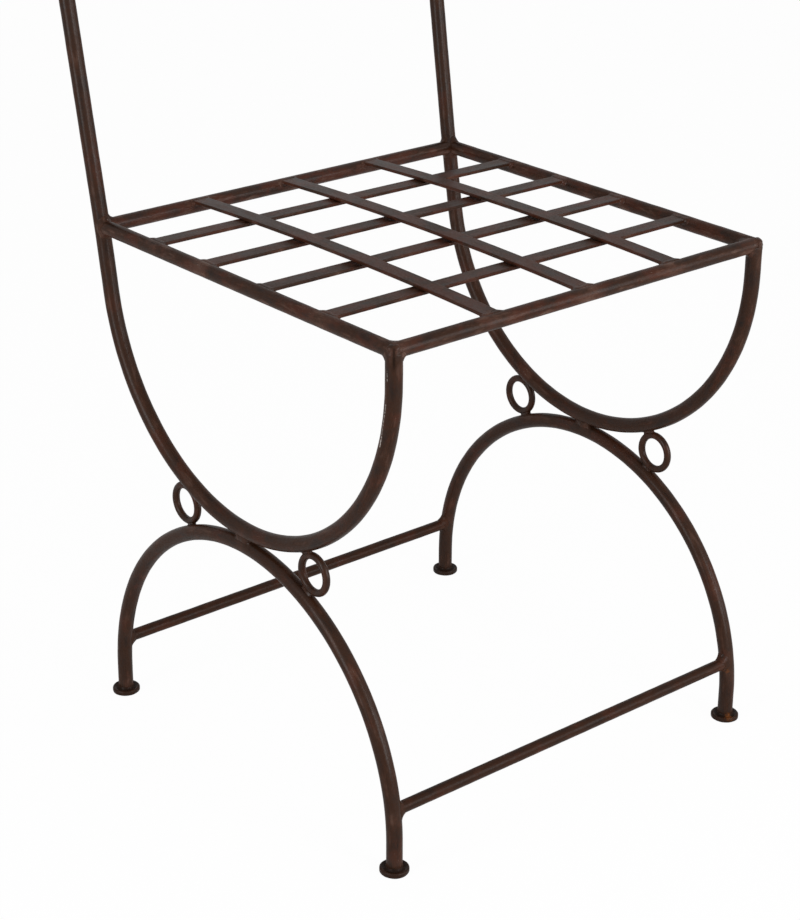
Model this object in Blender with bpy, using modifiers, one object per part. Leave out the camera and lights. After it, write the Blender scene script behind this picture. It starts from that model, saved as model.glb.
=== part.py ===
"""Wrought iron chair: half-circle side frames of round bar and a lattice seat of flat bars.

Metres, +Z up. The chair stands on z = 0 and faces -Y, with its bounding box centred on the Z axis.
Inside the script y = 0 is the middle of the leg arches, and one empty moves the whole chair.
"""
import math

import bmesh
import bpy
from mathutils import Vector

# Bar stock
FRAME_BAR = 0.014            # diameter of the side bars, the leg arches and the back hoop
RAIL_BAR = 0.013             # diameter of the seat rails and of the back's cross rail
STRETCHER_BAR = 0.011
RING_BAR = 0.0065
STRAP_WIDTH = 0.016          # flat bar of the seat and the back
STRAP_THICKNESS = 0.003
JOINT_GAP = 0.0003           # gap between two pieces that a weld joins

# Side frames
FRAME_SPACING = 0.400        # between the centre lines of the left and right frames
ARCH_RADIUS = 0.1973         # centre line of the half-circle leg arch
ARCH_LEG = 0.0274            # floor to the arch's centre
BOW_RADIUS = 0.1936          # centre line of the half-circle bow under the seat
BOW_RISE = 0.0255            # bow's centre up to the centre of the seat rails
BACK_LEAN = 9.7              # degrees that the uprights lean back
UPRIGHT_SPLAY = 1.0          # degrees that the uprights lean apart, above the seat
RING_DIAMETER = 0.039        # over the outside
STRETCHER_HEIGHT = 0.0567
FOOT_DIAMETER = 0.026
FOOT_THICKNESS = 0.005
FOOT_EDGE = 0.001            # chamfer round the foot plate
# The rings are welded by hand: how far each sits off its frame's plane, towards the right
RING_OFFSETS = {
    "front_left": 0.002, "back_left": 0.003, "front_right": 0.0, "back_right": 0.0012}

# Seat
FRONT_RAIL_INSET = 0.0007    # rail's centre behind the centre of the bow's front end
BACK_RAIL_INSET = 0.0029     # rail's centre in front of the upright's centre
SADDLE_DEPTH = 0.0015        # how far the bow's front end comes up round the rails
LONG_STRAP_SINK = 0.0002     # top of its ends below the top of the rails
CROSS_STRAP_SINK = 0.0009    # its top below the top of the rails
# The flat bars are laid by hand: metres off the even spacing, and degrees off square
CROSS_STRAP_SHIFTS = (0.004, 0.006, 0.0035, -0.002)
CROSS_STRAP_TURNS = (-0.1, -0.6, -0.95, -1.1)
LONG_STRAP_SHIFTS = {"left": 0.0006, "middle": -0.0012, "right": -0.0028}
LONG_STRAP_TURNS = {"left": 0.3, "middle": 0.3, "right": 0.8}

# Back
UPRIGHT_RISE = 0.228         # seat rails up to the ends of the hoop
HOOP_SHANK = 0.012           # straight end of the hoop, below its half circle
BACK_RAIL_DROP = 0.015       # cross rail's centre below the ends of the hoop

# Faceting
BAR_SIDES = 16
THIN_BAR_SIDES = 12
ARC_STEP = 6.0               # degrees between two points of a bent bar
RING_STEPS = 30
FOOT_SIDES = 32
CROWN_STEPS = 12
SMOOTH_ANGLE = 40.0          # degrees under which neighbouring faces are shaded smooth
MERGE_DISTANCE = 0.00001

# Finish: colour, roughness and metallic value
BROWN_PAINT = ((0.045, 0.027, 0.020), 0.48, 0.35)
WORN_PAINT = ((0.052, 0.032, 0.024), 0.55, 0.35)
RUSTY_PAINT = ((0.070, 0.033, 0.020), 0.65, 0.25)

# Places that follow from the sizes
LEAN = math.radians(BACK_LEAN)
ARCH_TOP = ARCH_LEG + ARCH_RADIUS
BOW_CENTRE = ARCH_TOP + FRAME_BAR + JOINT_GAP + BOW_RADIUS
SEAT_LEVEL = BOW_CENTRE + BOW_RISE
RAIL_TOP = SEAT_LEVEL + RAIL_BAR / 2
HALF_SPACING = FRAME_SPACING / 2
SIDES = {"left": -HALF_SPACING, "right": HALF_SPACING}


def upright_y(height):
    """Centre line of the leaning upright, a straight line that leaves the bow on its tangent."""
    tangent_y = BOW_RADIUS * math.cos(LEAN)
    tangent_z = BOW_CENTRE - BOW_RADIUS * math.sin(LEAN)
    return tangent_y + (height - tangent_z) * math.tan(LEAN)


HOOP_BASE_Z = SEAT_LEVEL + UPRIGHT_RISE
HOOP_BASE_Y = upright_y(HOOP_BASE_Z)
HOOP_RADIUS = HALF_SPACING + UPRIGHT_RISE * math.tan(math.radians(UPRIGHT_SPLAY))
FRONT_RAIL_Y = -BOW_RADIUS + FRONT_RAIL_INSET
BACK_RAIL_Y = upright_y(SEAT_LEVEL) - BACK_RAIL_INSET


def back_point(x, rise):
    """A point in the leaning plane of the back, by its rise up the slope from the hoop's ends."""
    return Vector((x, HOOP_BASE_Y + rise * math.sin(LEAN), HOOP_BASE_Z + rise * math.cos(LEAN)))


def leg_y(height):
    """Distance of the leg's centre line from the middle of its arch at a height."""
    above = max(0.0, height - ARCH_LEG)
    return math.sqrt(ARCH_RADIUS ** 2 - above ** 2)


def circle_arc(centre, radius, start, end):
    """Points on a circle in a plane, from the start angle to the end angle in degrees."""
    count = math.ceil(abs(end - start) / ARC_STEP)
    angles = [math.radians(start + (end - start) * step / count) for step in range(count + 1)]
    return [(centre[0] + radius * math.cos(a), centre[1] + radius * math.sin(a)) for a in angles]


def side_bar_path(x):
    """The bow from its front end backwards, then the upright, which splays from the seat up."""
    front_end = (-BOW_RADIUS, SEAT_LEVEL - RAIL_BAR / 2 + SADDLE_DEPTH)
    front_half = circle_arc((0.0, BOW_CENTRE), BOW_RADIUS, 180.0, 270.0)
    back_half = circle_arc((0.0, BOW_CENTRE), BOW_RADIUS, 270.0, 360.0 - BACK_LEAN)
    seat_point = (upright_y(SEAT_LEVEL), SEAT_LEVEL)
    outline = [front_end] + front_half + back_half[1:] + [seat_point]
    top = Vector((math.copysign(HOOP_RADIUS, x), HOOP_BASE_Y, HOOP_BASE_Z))
    return [Vector((x, y, z)) for y, z in outline] + [top]


def leg_arch_path(x):
    """A half circle with a straight leg down to each foot plate."""
    foot_top = FOOT_THICKNESS + JOINT_GAP
    arch = circle_arc((0.0, ARCH_LEG), ARCH_RADIUS, 180.0, 0.0)
    outline = [(-ARCH_RADIUS, foot_top)] + arch + [(ARCH_RADIUS, foot_top)]
    return [Vector((x, y, z)) for y, z in outline]


def hoop_path():
    """A half circle in the plane of the back, on two short shanks that stand on the uprights."""
    arch = circle_arc((0.0, HOOP_SHANK), HOOP_RADIUS, 180.0, 0.0)
    outline = [(-HOOP_RADIUS, JOINT_GAP)] + arch + [(HOOP_RADIUS, JOINT_GAP)]
    return [back_point(x, rise) for x, rise in outline]


def back_rail_path():
    """The cross rail between the uprights, just below the ends of the hoop."""
    return [back_point(x, -BACK_RAIL_DROP) for x in (-HOOP_RADIUS, HOOP_RADIUS)]


def clear_scene():
    """Remove what the scene holds before the chair is built."""
    for leftover in list(bpy.data.objects):
        bpy.data.objects.remove(leftover)


def new_collection(name):
    """A collection linked to the scene."""
    collection = bpy.data.collections.new(name)
    bpy.context.scene.collection.children.link(collection)
    return collection


def finish_material(name, finish):
    """A Principled material of one colour, roughness and metallic value."""
    colour, roughness, metallic = finish
    material = bpy.data.materials.new(name)
    material.use_nodes = True
    shader = material.node_tree.nodes["Principled BSDF"]
    shader.inputs["Base Color"].default_value = (*colour, 1.0)
    shader.inputs["Roughness"].default_value = roughness
    shader.inputs["Metallic"].default_value = metallic
    return material


class Chair:
    """The collections, the empty that carries every piece, and the calls that add pieces."""

    def __init__(self):
        self.parts = new_collection("wrought_iron_chair")
        self.cutters = new_collection("cutters")
        self.middle = bpy.data.objects.new("arch_middle", None)
        self.parts.objects.link(self.middle)
        front_reach = ARCH_RADIUS + FOOT_DIAMETER / 2
        back_reach = back_point(0.0, HOOP_SHANK + HOOP_RADIUS).y + FRAME_BAR / 2
        self.middle.location = (0.0, (front_reach - back_reach) / 2, 0.0)

    def add(self, name, data, finish, location=(0.0, 0.0, 0.0), rotation=(0.0, 0.0, 0.0)):
        """Place a mesh or a curve as a named piece with its own material."""
        piece = bpy.data.objects.new(name, data)
        piece.parent = self.middle
        piece.location = location
        piece.rotation_euler = rotation
        self.parts.objects.link(piece)
        data.materials.clear()
        data.materials.append(finish_material(name + "_paint", finish))
        return piece

    def add_cutter(self, name, data):
        """Place a mesh that only cuts its neighbours."""
        cutter = bpy.data.objects.new(name, data)
        cutter.parent = self.middle
        cutter.hide_render = True
        cutter.display_type = "WIRE"
        self.cutters.objects.link(cutter)
        return cutter


def shade_round(mesh):
    """Smooth shading that stays crisp at the sawn ends."""
    mesh.shade_smooth()
    mesh.set_sharp_from_angle(angle=math.radians(SMOOTH_ANGLE))


def bar_curve(name, path, diameter, sides=BAR_SIDES):
    """A round bar along a path, as a bevelled curve with filled ends."""
    curve = bpy.data.curves.new(name, "CURVE")
    curve.dimensions = "3D"
    curve.bevel_depth = diameter / 2
    curve.bevel_resolution = sides // 2 - 2
    curve.use_fill_caps = True
    spline = curve.splines.new("POLY")
    spline.points.add(len(path) - 1)
    for point, place in zip(spline.points, path):
        point.co = (*place, 1.0)
    spline.use_smooth = True
    return curve


def curve_to_mesh(curve):
    """The mesh of a curve, with its loose ends welded on."""
    carrier = bpy.data.objects.new("curve_carrier", curve)
    bpy.context.scene.collection.objects.link(carrier)
    evaluated = carrier.evaluated_get(bpy.context.evaluated_depsgraph_get())
    mesh = bpy.data.meshes.new_from_object(evaluated)
    mesh.transform(carrier.matrix_world)
    bpy.data.objects.remove(carrier)
    shape = bmesh.new()
    shape.from_mesh(mesh)
    bmesh.ops.remove_doubles(shape, verts=shape.verts, dist=MERGE_DISTANCE)
    bmesh.ops.recalc_face_normals(shape, faces=shape.faces)
    shape.to_mesh(mesh)
    shape.free()
    shade_round(mesh)
    return mesh


def bar_mesh(name, path, diameter, sides=BAR_SIDES):
    """A round bar along a path, as a closed mesh that can be cut."""
    return curve_to_mesh(bar_curve(name, path, diameter, sides))


def saw(mesh, plane_point, plane_normal):
    """Saw a closed mesh on a plane, drop the side that the normal points to and close the cut."""
    shape = bmesh.new()
    shape.from_mesh(mesh)
    geometry = shape.verts[:] + shape.edges[:] + shape.faces[:]
    cut = bmesh.ops.bisect_plane(
        shape, geom=geometry, plane_co=plane_point, plane_no=plane_normal, clear_outer=True)
    rim = [element for element in cut["geom_cut"] if isinstance(element, bmesh.types.BMEdge)]
    bmesh.ops.contextual_create(shape, geom=rim)
    bmesh.ops.recalc_face_normals(shape, faces=shape.faces)
    shape.to_mesh(mesh)
    shape.free()
    shade_round(mesh)


def cope(piece, *cutters):
    """Cut the ends of a piece to the shape of the bars that they are welded to."""
    for cutter in cutters:
        modifier = piece.modifiers.new("cope_" + cutter.name, "BOOLEAN")
        modifier.operation = "DIFFERENCE"
        modifier.solver = "EXACT"
        modifier.object = cutter


def flat_bar_mesh(name, size):
    """A straight flat bar, centred on its own origin."""
    mesh = bpy.data.meshes.new(name)
    shape = bmesh.new()
    bmesh.ops.create_cube(shape, size=1.0)
    bmesh.ops.scale(shape, vec=size, verts=shape.verts)
    shape.to_mesh(mesh)
    shape.free()
    return mesh


def make_cutters(chair):
    """Every bar that others are coped to, thicker by the joint gap on all sides."""
    grown_frame = FRAME_BAR + 2 * JOINT_GAP
    grown_rail = RAIL_BAR + 2 * JOINT_GAP
    past_corner = HALF_SPACING + RAIL_BAR
    cutters = {}
    for side, x in SIDES.items():
        paths = {"side_bar": side_bar_path(x), "leg_arch": leg_arch_path(x)}
        for kind, path in paths.items():
            mesh = bar_mesh(f"{kind}_{side}", path, grown_frame)
            cutters[f"{kind}_{side}"] = chair.add_cutter(f"{kind}_{side}_cutter", mesh)
        rail = [Vector((x, FRONT_RAIL_Y - RAIL_BAR, SEAT_LEVEL)),
                Vector((x, BACK_RAIL_Y, SEAT_LEVEL))]
        mesh = bar_mesh(f"rail_{side}", rail, grown_rail)
        cutters[f"rail_{side}"] = chair.add_cutter(f"rail_{side}_cutter", mesh)
    for end, y in (("front", FRONT_RAIL_Y), ("back", BACK_RAIL_Y)):
        rail = [Vector((x, y, SEAT_LEVEL)) for x in (-past_corner, past_corner)]
        mesh = bar_mesh(f"rail_{end}", rail, grown_rail)
        cutters[f"rail_{end}"] = chair.add_cutter(f"rail_{end}_cutter", mesh)
    mesh = bar_mesh("back_hoop", hoop_path(), grown_frame)
    cutters["hoop"] = chair.add_cutter("back_hoop_cutter", mesh)
    mesh = bar_mesh("back_rail", back_rail_path(), grown_rail)
    cutters["back_rail"] = chair.add_cutter("back_rail_cutter", mesh)
    return cutters


def make_side_frames(chair, cutters):
    """The bent side bars with their coped front ends, and the leg arches."""
    for side, x in SIDES.items():
        mesh = bar_mesh(f"side_bar_{side}", side_bar_path(x), FRAME_BAR)
        side_bar = chair.add(f"side_bar_{side}", mesh, BROWN_PAINT)
        cope(side_bar, cutters["rail_front"], cutters[f"rail_{side}"])
        curve = bar_curve(f"leg_arch_{side}", leg_arch_path(x), FRAME_BAR)
        chair.add(f"leg_arch_{side}", curve, BROWN_PAINT)


def ring_place(offset):
    """Distance ahead of the middle, and height, of a ring that touches both the bow and the arch."""
    between_bars = (FRAME_BAR + RING_BAR) / 2 + JOINT_GAP
    in_plane = math.sqrt(between_bars ** 2 - offset ** 2)
    reach = in_plane + (RING_DIAMETER - RING_BAR) / 2
    to_bow = BOW_RADIUS + reach
    to_arch = ARCH_RADIUS + reach
    between = BOW_CENTRE - ARCH_LEG
    above_arch_centre = (between ** 2 + to_arch ** 2 - to_bow ** 2) / (2 * between)
    return math.sqrt(to_arch ** 2 - above_arch_centre ** 2), ARCH_LEG + above_arch_centre


def make_rings(chair):
    """Four rings, one in each wedge between a bow and its leg arch."""
    for side, x in SIDES.items():
        for end, direction in (("front", -1.0), ("back", 1.0)):
            offset = RING_OFFSETS[f"{end}_{side}"]
            ahead, height = ring_place(offset)
            bpy.ops.mesh.primitive_torus_add(
                major_segments=RING_STEPS,
                minor_segments=THIN_BAR_SIDES,
                major_radius=(RING_DIAMETER - RING_BAR) / 2,
                minor_radius=RING_BAR / 2)
            torus = bpy.context.object
            mesh = torus.data
            bpy.data.objects.remove(torus)
            shade_round(mesh)
            chair.add(f"ring_{end}_{side}", mesh, BROWN_PAINT,
                      location=(x + offset, direction * ahead, height),
                      rotation=(0.0, math.pi / 2, 0.0))


def make_foot_plates(chair):
    """A round plate with a chamfered edge under each leg."""
    for side, x in SIDES.items():
        for end, y in (("front", -ARCH_RADIUS), ("back", ARCH_RADIUS)):
            name = f"foot_{end}_{side}"
            mesh = bpy.data.meshes.new(name)
            shape = bmesh.new()
            bmesh.ops.create_cone(
                shape, cap_ends=True, segments=FOOT_SIDES, depth=FOOT_THICKNESS,
                radius1=FOOT_DIAMETER / 2, radius2=FOOT_DIAMETER / 2)
            shape.to_mesh(mesh)
            shape.free()
            shade_round(mesh)
            foot = chair.add(name, mesh, RUSTY_PAINT, location=(x, y, FOOT_THICKNESS / 2))
            edge = foot.modifiers.new("edge", "BEVEL")
            edge.width = FOOT_EDGE
            edge.segments = 1
            edge.limit_method = "ANGLE"


def make_stretchers(chair, cutters):
    """Two thin bars between the left and right legs."""
    for end, direction in (("front", -1.0), ("back", 1.0)):
        y = direction * leg_y(STRETCHER_HEIGHT)
        path = [Vector((x, y, STRETCHER_HEIGHT)) for x in (-HALF_SPACING, HALF_SPACING)]
        mesh = bar_mesh(f"stretcher_{end}", path, STRETCHER_BAR, THIN_BAR_SIDES)
        stretcher = chair.add(f"stretcher_{end}", mesh, WORN_PAINT)
        cope(stretcher, cutters["leg_arch_left"], cutters["leg_arch_right"])


def make_seat_rails(chair, cutters):
    """The front and side rails meet in mitres, and the side and back rails end at the uprights."""
    front_corner = {side: Vector((x, FRONT_RAIL_Y, SEAT_LEVEL)) for side, x in SIDES.items()}
    half_gap = JOINT_GAP / 2
    past = Vector((RAIL_BAR, 0.0, 0.0))
    front = bar_mesh("seat_rail_front", [front_corner["left"] - past, front_corner["right"] + past],
                     RAIL_BAR)
    for side, outward in (("left", -1.0), ("right", 1.0)):
        mitre = Vector((outward, 1.0, 0.0)).normalized()
        saw(front, front_corner[side] - mitre * half_gap, mitre)
        path = [front_corner[side] - Vector((0.0, RAIL_BAR, 0.0)),
                Vector((SIDES[side], BACK_RAIL_Y, SEAT_LEVEL))]
        rail = bar_mesh(f"seat_rail_{side}", path, RAIL_BAR)
        saw(rail, front_corner[side] + mitre * half_gap, -mitre)
        piece = chair.add(f"seat_rail_{side}", rail, BROWN_PAINT)
        cope(piece, cutters[f"side_bar_{side}"])
    chair.add("seat_rail_front", front, BROWN_PAINT)
    path = [Vector((x, BACK_RAIL_Y, SEAT_LEVEL)) for x in (-HALF_SPACING, HALF_SPACING)]
    back = chair.add("seat_rail_back", bar_mesh("seat_rail_back", path, RAIL_BAR), BROWN_PAINT)
    for side in SIDES:
        cope(back, cutters[f"side_bar_{side}"], cutters[f"rail_{side}"])


def cross_strap_places():
    """Middle and turn of each flat bar that runs from side to side, front one first."""
    count = len(CROSS_STRAP_SHIFTS)
    pitch = (BACK_RAIL_Y - FRONT_RAIL_Y) / (count + 1)
    return [(FRONT_RAIL_Y + pitch * (index + 1) + shift, math.radians(turn))
            for index, (shift, turn) in enumerate(zip(CROSS_STRAP_SHIFTS, CROSS_STRAP_TURNS))]


def long_strap_crown():
    """Rise in the middle of a long strap that just carries it over the outermost cross straps."""
    middle = (FRONT_RAIL_Y + BACK_RAIL_Y) / 2
    half_span = (BACK_RAIL_Y - FRONT_RAIL_Y) / 2
    farthest = max(abs(y - middle) + STRAP_WIDTH / 2 + HALF_SPACING * abs(math.sin(turn))
                   for y, turn in cross_strap_places())
    lift = STRAP_THICKNESS + JOINT_GAP + LONG_STRAP_SINK - CROSS_STRAP_SINK
    return lift / (1.0 - (farthest / half_span) ** 2)


def make_cross_straps(chair, cutters):
    """The flat bars from side to side, with their tops just below the top of the rails."""
    height = RAIL_TOP - CROSS_STRAP_SINK - STRAP_THICKNESS / 2
    for index, (y, turn) in enumerate(cross_strap_places(), start=1):
        mesh = flat_bar_mesh(f"cross_strap_{index}", (FRAME_SPACING, STRAP_WIDTH, STRAP_THICKNESS))
        strap = chair.add(f"cross_strap_{index}", mesh, WORN_PAINT,
                          location=(0.0, y, height), rotation=(0.0, 0.0, turn))
        cope(strap, cutters["rail_left"], cutters["rail_right"])


def crowned_outline(half_span, crown):
    """Side view of a long strap: a shallow parabola with the strap's thickness below it."""
    steps = [2.0 * step / CROWN_STEPS - 1.0 for step in range(CROWN_STEPS + 1)]
    top = [(half_span * t, crown * (1.0 - t * t)) for t in steps]
    bottom = [(along, up - STRAP_THICKNESS) for along, up in reversed(top)]
    return top + bottom


def crowned_strap_mesh(name, outline):
    """The side view as a filled flat outline, extruded to the strap's width."""
    curve = bpy.data.curves.new(name, "CURVE")
    curve.dimensions = "2D"
    curve.fill_mode = "BOTH"
    curve.extrude = STRAP_WIDTH / 2
    spline = curve.splines.new("POLY")
    spline.points.add(len(outline) - 1)
    for point, (along, up) in zip(spline.points, outline):
        point.co = (along, up, 0.0, 1.0)
    spline.use_cyclic_u = True
    return curve_to_mesh(curve)


def make_long_straps(chair, cutters):
    """The flat bars from front to back, crowned over the cross straps and level with the rails."""
    middle = (FRONT_RAIL_Y + BACK_RAIL_Y) / 2
    half_span = (BACK_RAIL_Y - FRONT_RAIL_Y) / 2
    outline = crowned_outline(half_span, long_strap_crown())
    pitch = FRAME_SPACING / (len(LONG_STRAP_TURNS) + 1)
    for index, (place, turn) in enumerate(LONG_STRAP_TURNS.items(), start=1):
        x = pitch * index - HALF_SPACING + LONG_STRAP_SHIFTS[place]
        mesh = crowned_strap_mesh(f"long_strap_{place}", outline)
        strap = chair.add(f"long_strap_{place}", mesh, WORN_PAINT,
                          location=(x, middle, RAIL_TOP - LONG_STRAP_SINK),
                          rotation=(math.pi / 2, 0.0, math.pi / 2 + math.radians(turn)))
        cope(strap, cutters["rail_front"], cutters["rail_back"])


def make_back(chair, cutters):
    """The hoop on the two uprights, the cross rail under it and three flat slats between them."""
    chair.add("back_hoop", bar_curve("back_hoop", hoop_path(), FRAME_BAR), BROWN_PAINT)
    rail = chair.add("back_rail", bar_mesh("back_rail", back_rail_path(), RAIL_BAR), BROWN_PAINT)
    cope(rail, cutters["side_bar_left"], cutters["side_bar_right"])
    pitch = FRAME_SPACING / (len(LONG_STRAP_TURNS) + 1)
    for index, place in enumerate(LONG_STRAP_TURNS, start=1):
        x = pitch * index - HALF_SPACING
        top = HOOP_SHANK + math.sqrt(HOOP_RADIUS ** 2 - x ** 2)
        length = top + BACK_RAIL_DROP
        mesh = flat_bar_mesh(f"back_slat_{place}", (STRAP_WIDTH, STRAP_THICKNESS, length))
        slat = chair.add(f"back_slat_{place}", mesh, WORN_PAINT,
                         location=back_point(x, (top - BACK_RAIL_DROP) / 2), rotation=(-LEAN, 0.0, 0.0))
        cope(slat, cutters["back_rail"], cutters["hoop"])


def main():
    """Build the whole chair."""
    clear_scene()
    chair = Chair()
    cutters = make_cutters(chair)
    make_side_frames(chair, cutters)
    make_rings(chair)
    make_foot_plates(chair)
    make_stretchers(chair, cutters)
    make_seat_rails(chair, cutters)
    make_cross_straps(chair, cutters)
    make_long_straps(chair, cutters)
    make_back(chair, cutters)
    bpy.context.view_layer.update()


main()
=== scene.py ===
"""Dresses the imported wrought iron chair: smooth round bars, ground welds and worn brown paint.

Metres, +Z up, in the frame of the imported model. The chair faces -Y and nothing in it moves.
"""

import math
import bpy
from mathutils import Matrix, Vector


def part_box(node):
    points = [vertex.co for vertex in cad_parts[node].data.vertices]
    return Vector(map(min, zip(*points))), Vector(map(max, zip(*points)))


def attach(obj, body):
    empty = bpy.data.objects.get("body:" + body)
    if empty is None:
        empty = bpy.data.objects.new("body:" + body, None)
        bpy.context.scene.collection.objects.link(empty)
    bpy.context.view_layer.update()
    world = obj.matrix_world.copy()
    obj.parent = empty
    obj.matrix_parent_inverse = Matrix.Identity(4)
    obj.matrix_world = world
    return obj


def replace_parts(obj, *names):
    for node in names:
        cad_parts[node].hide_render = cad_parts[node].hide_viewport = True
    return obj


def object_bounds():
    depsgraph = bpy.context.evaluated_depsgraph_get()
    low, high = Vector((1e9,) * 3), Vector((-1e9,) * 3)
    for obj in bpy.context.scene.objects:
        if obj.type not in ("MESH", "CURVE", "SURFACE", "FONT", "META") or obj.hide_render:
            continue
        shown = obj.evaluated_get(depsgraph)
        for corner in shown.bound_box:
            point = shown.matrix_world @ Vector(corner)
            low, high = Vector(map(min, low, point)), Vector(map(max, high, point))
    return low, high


bl_info = {
    "name": "Wrought iron chair",
    "version": (1, 0, 0),
    "blender": (4, 5, 0),
    "location": "3D View > Sidebar > Iron chair",
    "description": "Builds the bars, rings and welds of a wrought iron chair on its packed frame",
    "category": "Object",
}

import bpy
import numpy as np
from mathutils import Euler, Vector

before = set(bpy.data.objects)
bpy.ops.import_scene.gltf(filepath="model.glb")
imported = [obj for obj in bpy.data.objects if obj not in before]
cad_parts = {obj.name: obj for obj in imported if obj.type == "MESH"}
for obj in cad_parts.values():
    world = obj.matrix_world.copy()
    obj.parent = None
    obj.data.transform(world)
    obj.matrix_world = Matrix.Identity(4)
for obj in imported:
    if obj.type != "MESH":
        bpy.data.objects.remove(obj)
CAD_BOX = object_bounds()

SIDES = ("left", "right")
ENDS = ("front", "back")
STRAP_PLACES = ("left", "middle", "right")
CROSS_STRAPS = (1, 2, 3, 4)
MILLIMETRE = 0.001
ACROSS_X = np.array([1.0, 0.0, 0.0])
ACROSS_Y = np.array([0.0, 1.0, 0.0])
UPWARDS = np.array([0.0, 0.0, 1.0])
WHITE = (1.0, 1.0, 1.0, 1.0)

# How finely the surfaces are divided, and lengths that only the build needs, in metres
ROW_SPACING = 0.0025           # between two rows of points along a bar
CORNER_ROW_SPACING = 0.0005    # the same, close to a mitre
CORNER_ROWS = 0.012            # how far from a mitre the rows lie close
ARC_STEP = math.radians(1.5)   # between two points of a bent bar's centre line
BAR_SIDES = 44                 # points round a round bar, and round a weld between two bars
SIDE_BAR_SIDES = 64
RAIL_SIDES = 48
STRETCHER_SIDES = 40
RING_SIDES = 32
FOOT_SIDES = 64
WELD_SIDES = 48                # points round the weld at the end of a round bar
STRAP_WELD_POINTS = 64         # points round the weld at the end of a flat bar
SHARP_FROM = math.radians(50)  # faces that meet at more than this keep a crisp edge
BAR_END_INSET = 0.004          # a bar ends this far short of the centre line that it meets
RUN_UP = 0.03                  # how far back up a bar the search for its weld's place starts
SEARCH_STEPS = 60              # steps of that search
MITRE_FADE = 0.009             # how far along a rail the slant of its mitre fades
WELD_DEPTH = 0.8 * MILLIMETRE  # how far under the bars' surface a weld closes


def node_size(node):
    """Length, depth and height of a CAD node's box."""
    low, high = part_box(node)
    return np.array(high) - np.array(low)


def node_middle(node):
    """Middle of a CAD node's box."""
    low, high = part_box(node)
    return (np.array(high) + np.array(low)) / 2


# ---------------------------------------------------------------- sizes and colours

def length(name, description, default):
    """A length property."""
    return bpy.props.FloatProperty(
        name=name, description=description, default=float(default), min=0.0,
        subtype="DISTANCE", unit="LENGTH", precision=5)


def angle(name, description, degrees):
    """An angle property, whose default is given in degrees."""
    return bpy.props.FloatProperty(
        name=name, description=description, default=math.radians(degrees), subtype="ANGLE",
        unit="ROTATION")


def number(name, description, default):
    """A plain number property."""
    return bpy.props.FloatProperty(name=name, description=description, default=default)


def colour(name, description, default):
    """A colour property."""
    return bpy.props.FloatVectorProperty(
        name=name, description=description, default=default, size=3, min=0.0, max=1.0,
        subtype="COLOR")


class ChairBars(bpy.types.PropertyGroup):
    """The bar stock, and how evenly it was bent and laid."""

    frame_bar: length("Frame bar", "Diameter of the side bars, arches and hoop",
                      node_size("leg_arch_left")[0])
    rail_bar: length("Rail bar", "Diameter of the seat rails", node_size("seat_rail_front")[2])
    stretcher_bar: length("Stretcher bar", "Diameter of the two stretchers",
                          node_size("stretcher_front")[2])
    ring_bar: length("Ring bar", "Diameter of the rings' bar", node_size("ring_front_left")[0])
    strap_width: length("Strap width", "Width of the flat bars of the seat and the back",
                        node_size("back_slat_middle")[0])
    strap_thickness: length("Strap thickness", "Thickness of the flat bars",
                            node_size("cross_strap_1")[2])
    strap_edge: length("Strap edge", "Radius along the edges of the flat bars", 0.0006)
    unevenness: length("Unevenness", "How far a bar's surface dips below its true round", 0.00018)
    back_lean: angle("Back lean", "How far the uprights lean back", 9.7)
    long_strap_turn: angle("Long strap turn", "How far the long straps lie off square", 0.3)
    right_strap_turn: angle("Right strap turn", "How far the right long strap lies off square", 0.8)
    hoop_shank: length("Hoop shank", "Straight end of the hoop below its half circle", 0.012)
    back_rail_drop: length("Back rail drop", "Cross rail below the ends of the hoop", 0.015)
    cross_strap_drop: length("Cross strap drop", "Cross straps below the top of the rails", 0.0009)
    corner_round: length("Corner round", "Radius that the front corners are ground to", 0.0042)
    foot_round: length("Foot round", "Radius round the edge of a foot plate", 0.0015)
    foot_dish: length("Foot dish", "Depth of the dished top of a foot plate", 0.0011)
    foot_waver: length("Foot waver", "How far a foot plate's rim is out of round", 0.0007)


class ChairWelds(bpy.types.PropertyGroup):
    """How far each kind of weld reaches along the two bars that it joins."""

    stretcher_rise: length("Stretcher weld rise", "Reach along a stretcher", 0.0036)
    stretcher_spread: length("Stretcher weld spread", "Reach over a leg", 0.0036)
    upright_rise: length("Upright weld rise", "Reach along a rail that ends at an upright", 0.0044)
    upright_spread: length("Upright weld spread", "Reach over an upright", 0.0042)
    corner_rise: length("Corner weld rise", "Reach down the bow under a front corner", 0.0034)
    corner_spread: length("Corner weld spread", "Reach over the rails of a front corner", 0.0030)
    corner_web: length("Corner web", "Reach of the weld that fills a front corner inside", 0.0095)
    cap_round: length("Corner cap round", "Radius round the top of a front corner", 0.0033)
    strap_rise: length("Strap weld rise", "Reach along a flat bar", 0.0034)
    strap_spread: length("Strap weld spread", "Reach from a flat bar over a rail", 0.0032)
    foot_rise: length("Foot weld rise", "Reach up the leg", 0.0017)
    foot_spread: length("Foot weld spread", "Reach out over the foot plate", 0.0020)
    ring_reach: length("Ring weld reach", "Half the length of a weld between ring and bar", 0.0078)
    ring_width: length("Ring weld width", "Half the width of a weld between ring and bar", 0.0034)
    bow_reach: length("Bow weld reach", "Half the length of the weld between bow and arch", 0.0130)
    bow_width: length("Bow weld width", "Half the width of the weld between bow and arch", 0.0086)
    seam_bead: length("Seam bead", "Radius of the bead over a mitre", 0.0005)
    butt_bead: length("Butt bead", "Half the width of the bead at the foot of the hoop", 0.0022)
    lumpiness: number("Lumpiness", "Share by which a weld's reach swells and shrinks", 0.14)
    lopsidedness: number("Lopsidedness", "Share by which a weld is larger on its heavy side", 0.35)


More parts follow.
